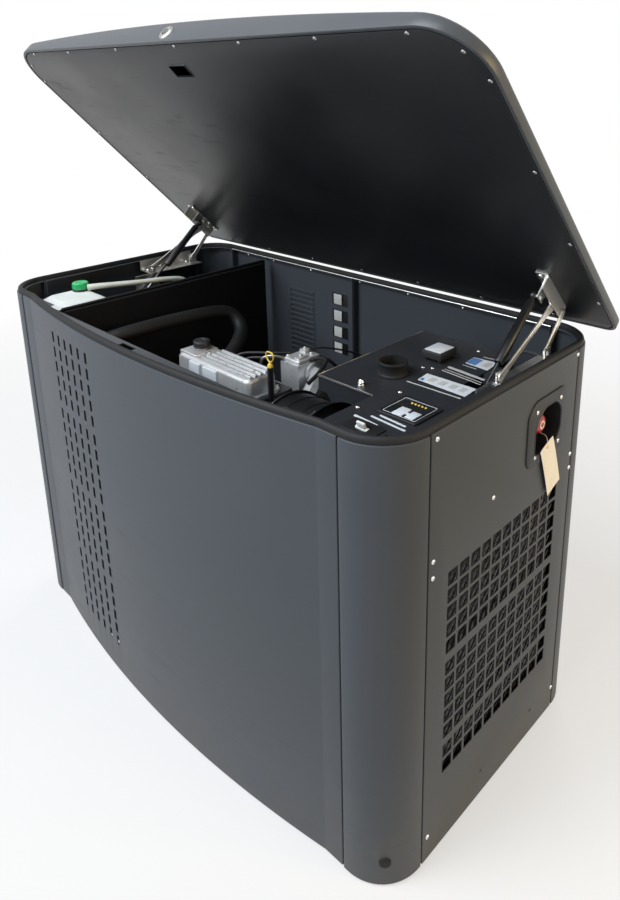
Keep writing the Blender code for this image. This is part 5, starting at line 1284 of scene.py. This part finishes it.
def buildEngine():
    spec = engine
    (x0, y0), (x1, y1) = spec["cover"]
    low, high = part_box("valve_cover")[0].z, 0.8
    body = loft("ribbed_valve_cover", [[(x, y, z) for x, y in roundBox((x0 + i, y0 + i),
        (x1 - i, y1 - i), 0.014, 6)] for i, z in ((0.0006, low + 0.0005), (0.0006, low + 0.0075),
        (0.007, low + 0.0085), (0.008, high - 0.014), (0.0105, high - 0.0085),
        (0.016, high - 0.005), (0.02, high - 0.0046))], False)
    ribs = [slab(f"rib{i}", (x0 + 0.088, y0 + 0.021 + 0.0145 * i, high - 0.009),
        (x1 - 0.013, y0 + 0.0275 + 0.0145 * i, high), 0.0022, 3) for i in range(5)]
    ribs += [slab("raisedEnd", (x0 + 0.01, y0 + 0.016, high - 0.01),
        (x0 + 0.072, y1 - 0.016, high - 0.0006), 0.003, 3)]
    # pale raised pads on the cover's front face: a painted highlight of its bright front side
    pads = [slab(f"boss{i}", (x, y0 + 0.0012, low + 0.012), (x + w, y0 + 0.011, high - 0.01),
        0.0022, 3) for i, (x, w) in enumerate(((-0.09, 0.04), (-0.038, 0.052)))]
    nx, ny = spec["capAt"]
    neck = lathe("oilNeck", [(0, 0.785), (0.0175, 0.785), (0.0165, 0.797), (0.0138, 0.799),
        (0.0138, 0.8035), (0, 0.8035)], (nx, ny, 0), steps=40)
    done(merged("ribbed_valve_cover", [boolean(body, neck, "UNION")] + ribs), main, "castAluminium",
        "valve_cover", angle=40)
    done(merged("valve_cover_pads", pads), main, "platePale", slotName="cast_aluminium")
    bolt = lathe("coverBolt", [(0, 0.006), (0.0034, 0.006), (0.0042, 0.005), (0.0042, 0.0012),
        (0.0066, 0.001), (0.0066, 0), (0, 0)], (0, 0, 0), steps=6)
    spots = [((x, y, low + 0.0075), zAxis, xAxis) for x in (x0 + 0.012, -0.015, x1 - 0.012)
        for y in (y0 + 0.0065, y1 - 0.0065)]
    spots += [((x, -0.125, high - 0.0046), zAxis, xAxis) for x in (-0.074, 0.09)]
    spread("valve_cover_bolts", bolt, spots, main, "zinc", 25)

    capLow, capHigh = heights("oil_cap")
    cap = lathe("oil_filler_cap", [(0, capHigh - 0.0012), (0.009, capHigh - 0.0012),
        (0.0102, capHigh), (0.018, capHigh), (0.0198, capHigh - 0.0018), (0.0198, capLow + 0.001),
        (0.019, capLow), (0, capLow)], (nx, ny, 0), steps=48)
    lug = slab("oilCapLug", (nx - 0.015, ny - 0.003, capHigh - 0.0024),
        (nx + 0.015, ny + 0.003, capHigh - 0.0001), 0.0008)
    done(merged("oil_filler_cap", [cap, lug]), "oil_cap", "blackPlastic", "oil_cap", angle=45)

    cy, cz = spec["drumAt"]
    drumLow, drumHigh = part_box("air_cleaner")[0].x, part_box("air_cleaner")[1].x
    profile = [(0, drumLow + 0.0006), (0.06, drumLow + 0.0006), (0.066, drumLow + 0.003),
        (0.104, drumLow + 0.003), (0.114, drumLow + 0.0052), (0.1172, drumLow + 0.0085),
        (0.1212, drumLow + 0.0088), (0.1212, drumLow + 0.0134), (0.1172, drumLow + 0.0138),
        (0.1172, 0.245), (0.115, 0.2475), (0.115, 0.2505), (0.1172, 0.253), (0.1172, 0.285),
        (0.115, 0.2875), (0.115, 0.2905), (0.1172, 0.293), (0.1172, 0.317), (0.129, 0.3185),
        (0.1294, 0.3215), (0.129, 0.3254), (0.116, 0.3258), (0.11, drumHigh - 0.004),
        (0.1, drumHigh - 0.0006), (0, drumHigh - 0.0006)]
    done(lathe("air_cleaner_drum", profile, (0, cy, cz), "X", 96), main, "blackPaint",
        "air_cleaner", angle=40)
    rims = [lathe(f"rim{i}", [(r - 0.003, x0), (r, x0 + 0.0004), (r + 0.0006, x0 + 0.0014),
        (r, x0 + 0.0024), (r - 0.003, x0 + 0.0028)], (0, cy, cz), "X", 96) for i,
        (r, x0) in enumerate(((0.1214, drumLow + 0.008), (0.1292, 0.32)))]
    done(merged("air_cleaner_rims", rims), main, "chrome", angle=60, slotName="zinc")

    stickLow, stickHigh = heights("dipstick")
    ringZ = 0.844
    ring = [(0.14 + 0.0115 * math.sin(a) * (1 - 0.25 * math.cos(a)), -0.12,
        ringZ - 0.0115 * math.cos(a) * 1.02) for a in [2 * math.pi * i / 40 for i in range(41)]]
    loopPiece = tube("ringPart", [(x, y, min(max(z, stickLow), stickHigh - 0.0019)) for x, y,
        z in ring], 0.0018, 12)
    stick = tube("rodPart", [(0.14, -0.12, z) for z in (stickLow + 0.0005, 0.6, 0.75, 0.8325)],
        0.0022, 12)
    stopper = lathe("stopPart", [(0, 0), (0.0066, 0), (0.0068, 0.002), (0.005, 0.007),
        (0.003, 0.01), (0, 0.01)], (0.14, -0.12, 0.8204), steps=24)
    done(merged("dipstick_handle", [loopPiece, stick, stopper]), "dipstick", "yellowPlastic",
        "dipstick", angle=50)

    mixer = slab("mixerBody", (0.074, -0.024, 0.7895), (0.126, 0.044, 0.799), 0.003, 3)
    blocks = [slab("mixerLug", (0.08, 0.02, 0.7985), (0.1, 0.04, 0.807), 0.002),
        slab("mixerArm", (0.104, -0.018, 0.7985), (0.12, 0.012, 0.8035), 0.0015)]
    done(merged("fuel_mixer_top", [mixer] + blocks), main, "castAluminium")
    bolts = [((0.082, -0.016, 0.799), zAxis, xAxis), ((0.112, 0.03, 0.799), zAxis, xAxis),
        ((0.09, 0.03, 0.807), zAxis, xAxis), ((0.112, -0.004, 0.8035), zAxis, xAxis)]
    mixerBolt = lathe("mixerBolt", [(0, 0.005), (0.0032, 0.005), (0.004, 0.004), (0.004, 0),
        (0, 0)], (0, 0, 0), steps=6)
    spread("fuel_mixer_bolts", mixerBolt, bolts, main, "zinc", 25)


def buildLines():    # leads and pipes over the engine
    runs = (("ignition_lead_one", "blackPlastic", 0.0036, [(-0.06, -0.068, 0.74),
            (-0.04, -0.04, 0.768), (0.01, -0.004, 0.772), (0.05, 0.06, 0.766), (0.08, 0.12, 0.745),
            (0.09, 0.16, 0.7)]),
        ("ignition_lead_two", "blackPlastic", 0.0036, [(-0.09, -0.068, 0.74), (-0.08, -0.03, 0.766),
            (-0.02, 0.02, 0.77), (0.03, 0.09, 0.76), (0.05, 0.15, 0.73), (0.05, 0.18, 0.69)]),
        ("vacuum_line", "rubber", 0.0045, [(0.126, 0.012, 0.793), (0.15, 0.02, 0.802),
            (0.18, 0.01, 0.806), (0.2, -0.03, 0.798), (0.205, -0.07, 0.785)]),
        ("fuel_pipe", "steel", 0.0034, [(0.078, -0.02, 0.795), (0.06, -0.045, 0.803),
            (0.04, -0.058, 0.795), (0.03, -0.06, 0.77)]),
        ("sensor_lead", "blackPlastic", 0.0022, [(0.1, 0.034, 0.806), (0.11, 0.07, 0.803),
            (0.13, 0.13, 0.782), (0.15, 0.19, 0.75), (0.165, 0.225, 0.72)]))
    for name, finishName, radius, points in runs:
        done(tube(name, smoothRun(points, 6), radius, 12), main, finishName, angle=60)


# ---- finishes on the nodes that keep their own shape
kept = {"base_frame": "framePaint", "partition_wall": "foam", "control_deck": "deckPaint",
    "radiator": "blackPaint", "fan": "blackPlastic", "engine_cradle": "framePaint",
    "engine_block": "enginePaint", "intake_manifold": "castAluminium",
    "alternator_housing": "enginePaint", "crankshaft": "steel", "starter_motor": "blackPaint",
    "oil_filter": "filterPaint", "dipstick_tube": "blackPaint", "muffler": "heatSteel",
    "battery": "blackPlastic", "hinge_base_left": "zinc", "hinge_base_right": "zinc",
    "lid_bracket_left": "zinc", "lid_bracket_right": "zinc"}


def dressKept():
    for node, finishName in kept.items():
        obj = cad[node]
        for slot in obj.material_slots:
            slot.material = mat(finishName)
        if not obj.material_slots:
            obj.data.materials.append(mat(finishName))


# ---- floor, lights and camera
studio = {"floor": (0.84, 0.84, 0.84), "reach": 30.0, "fadeFrom": 1.2, "fadeTo": 3.4, "world": 0.17,
    "key": (190, (-2.2, -5.0, 3.6), 3.0, (0.86, 0.93, 1.0)), "top": (95, (-0.1, -1.9, 3.7), 2.0,
    (0.9, 0.95, 1.0)), "side": (58, (3.6, 0.9, 1.6), 1.5, (1.0, 0.72, 0.33)),
    "back": (90, (-1.6, 4.6, 3.2), 3.0, (0.95, 0.97, 1.0)), "spot": (5.0, (-0.55, -1.3, 2.3), 0.12,
    (0.85, 0.92, 1.0))}


def seenRays(tree):    # 1 for what is seen directly, in gloss or through clear parts
    path = tree.nodes.new("ShaderNodeLightPath")
    camera, glossy, through = [Wire(tree, path.outputs[f"Is {kind} Ray"])
        for kind in ("Camera", "Glossy", "Transmission")]
    return (camera + glossy + through).math("MINIMUM", 1.0)


def buildStudio():
    bm = bmesh.new()
    bmesh.ops.create_grid(bm, x_segments=8, y_segments=8, size=studio["reach"])
    floor = addMesh("studio_floor", bm)
    ground = bpy.data.materials.new("studioFloor")
    ground.use_nodes = True
    tree = ground.node_tree
    shader = tree.nodes["Principled BSDF"]
    coords = make(tree, "ShaderNodeTexCoord", out=3)
    tone = noise(tree, coords, 1.5).between(0.3, 0.7)
    color = mixColor(tree, tone, studio["floor"], tuple(c * 0.985 for c in studio["floor"]))
    tree.links.new(color.socket, shader.inputs["Base Color"])
    shader.inputs["Roughness"].default_value = 0.85
    shader.inputs["Specular IOR Level"].default_value = 0.1
    far = make(tree, "ShaderNodeVectorMath", {"operation": "LENGTH"}, {0: coords},
        1).between(studio["fadeFrom"], studio["fadeTo"])
    seen = seenRays(tree)
    white = make(tree, "ShaderNodeEmission", {}, {0: (1, 1, 1, 1), 1: 1.0})
    mix = make(tree, "ShaderNodeMixShader", {}, {0: seen * (0.55 + far * 0.45),
        1: Wire(tree, shader.outputs[0]), 2: white})
    tree.links.new(mix.socket, tree.nodes["Material Output"].inputs[0])
    floor.data.materials.append(ground)

    world = bpy.data.worlds.new("studioWorld")
    world.use_nodes = True
    bpy.context.scene.world = world
    tree = world.node_tree
    tree.nodes.clear()
    seen = seenRays(tree)
    plain = make(tree, "ShaderNodeBackground", {}, {0: (1, 1, 1, 1), 1: studio["world"]})
    white = make(tree, "ShaderNodeBackground", {}, {0: (1, 1, 1, 1), 1: 1.0})
    mix = make(tree, "ShaderNodeMixShader", {}, {0: seen, 1: plain, 2: white})
    result = tree.nodes.new("ShaderNodeOutputWorld")
    tree.links.new(mix.socket, result.inputs[0])

    for name in ("key", "top", "side", "spot", "back"):
        power, at, size, color = studio[name]
        light = bpy.data.lights.new(name + "Light", "AREA")
        light.energy, light.size, light.color = power, size, color
        lamp = bpy.data.objects.new(name + "Light", light)
        aim = (Vector(at) - Vector((0, 0, 0.6))).to_track_quat("Z", "Y").to_matrix().to_4x4()
        lamp.matrix_world = Matrix.Translation(at) @ aim
        bpy.context.scene.collection.objects.link(lamp)


view = {"lens": 29.0, "sensor": 36.0, "shift": (-0.0446, -0.1874)}


def buildCamera():
    lens = bpy.data.cameras.new("camera")
    lens.lens, lens.sensor_width, lens.sensor_fit = view["lens"], view["sensor"], "AUTO"
    lens.shift_x, lens.shift_y = view["shift"]
    camera = bpy.data.objects.new("camera", lens)
    camera.matrix_world = Matrix(((.72887, -.1814, .66019, 1.26406),
        (.68459, .20665, -.69902, -1.05661), (-.00963, .96145, .2748, 1.4263), (0, 0, 0, 1)))
    bpy.context.scene.collection.objects.link(camera)
    bpy.context.scene.camera = camera


bpy.context.scene.view_settings.view_transform = "Standard"
stages = (("camera", buildCamera), ("studio", buildStudio), ("corner posts", buildPosts),
    ("front panel", buildFrontPanel), ("end panels", buildSidePanels),
    ("rear panels", buildRearPanels), ("gasket", buildSeal), ("plugs", buildPlugs),
    ("emergency stop", buildStop), ("lid", buildLid), ("lid lock", buildLock),
    ("left hinge", lambda: buildHinge("left", -1)), ("right hinge", lambda: buildHinge("right", 1)),
    ("control deck", buildDeck), ("cooling side", buildCooling), ("engine top", buildEngine),
    ("leads and pipes", buildLines), ("kept nodes", dressKept))
for label, build in stages:
    build()
    print("built:", label)
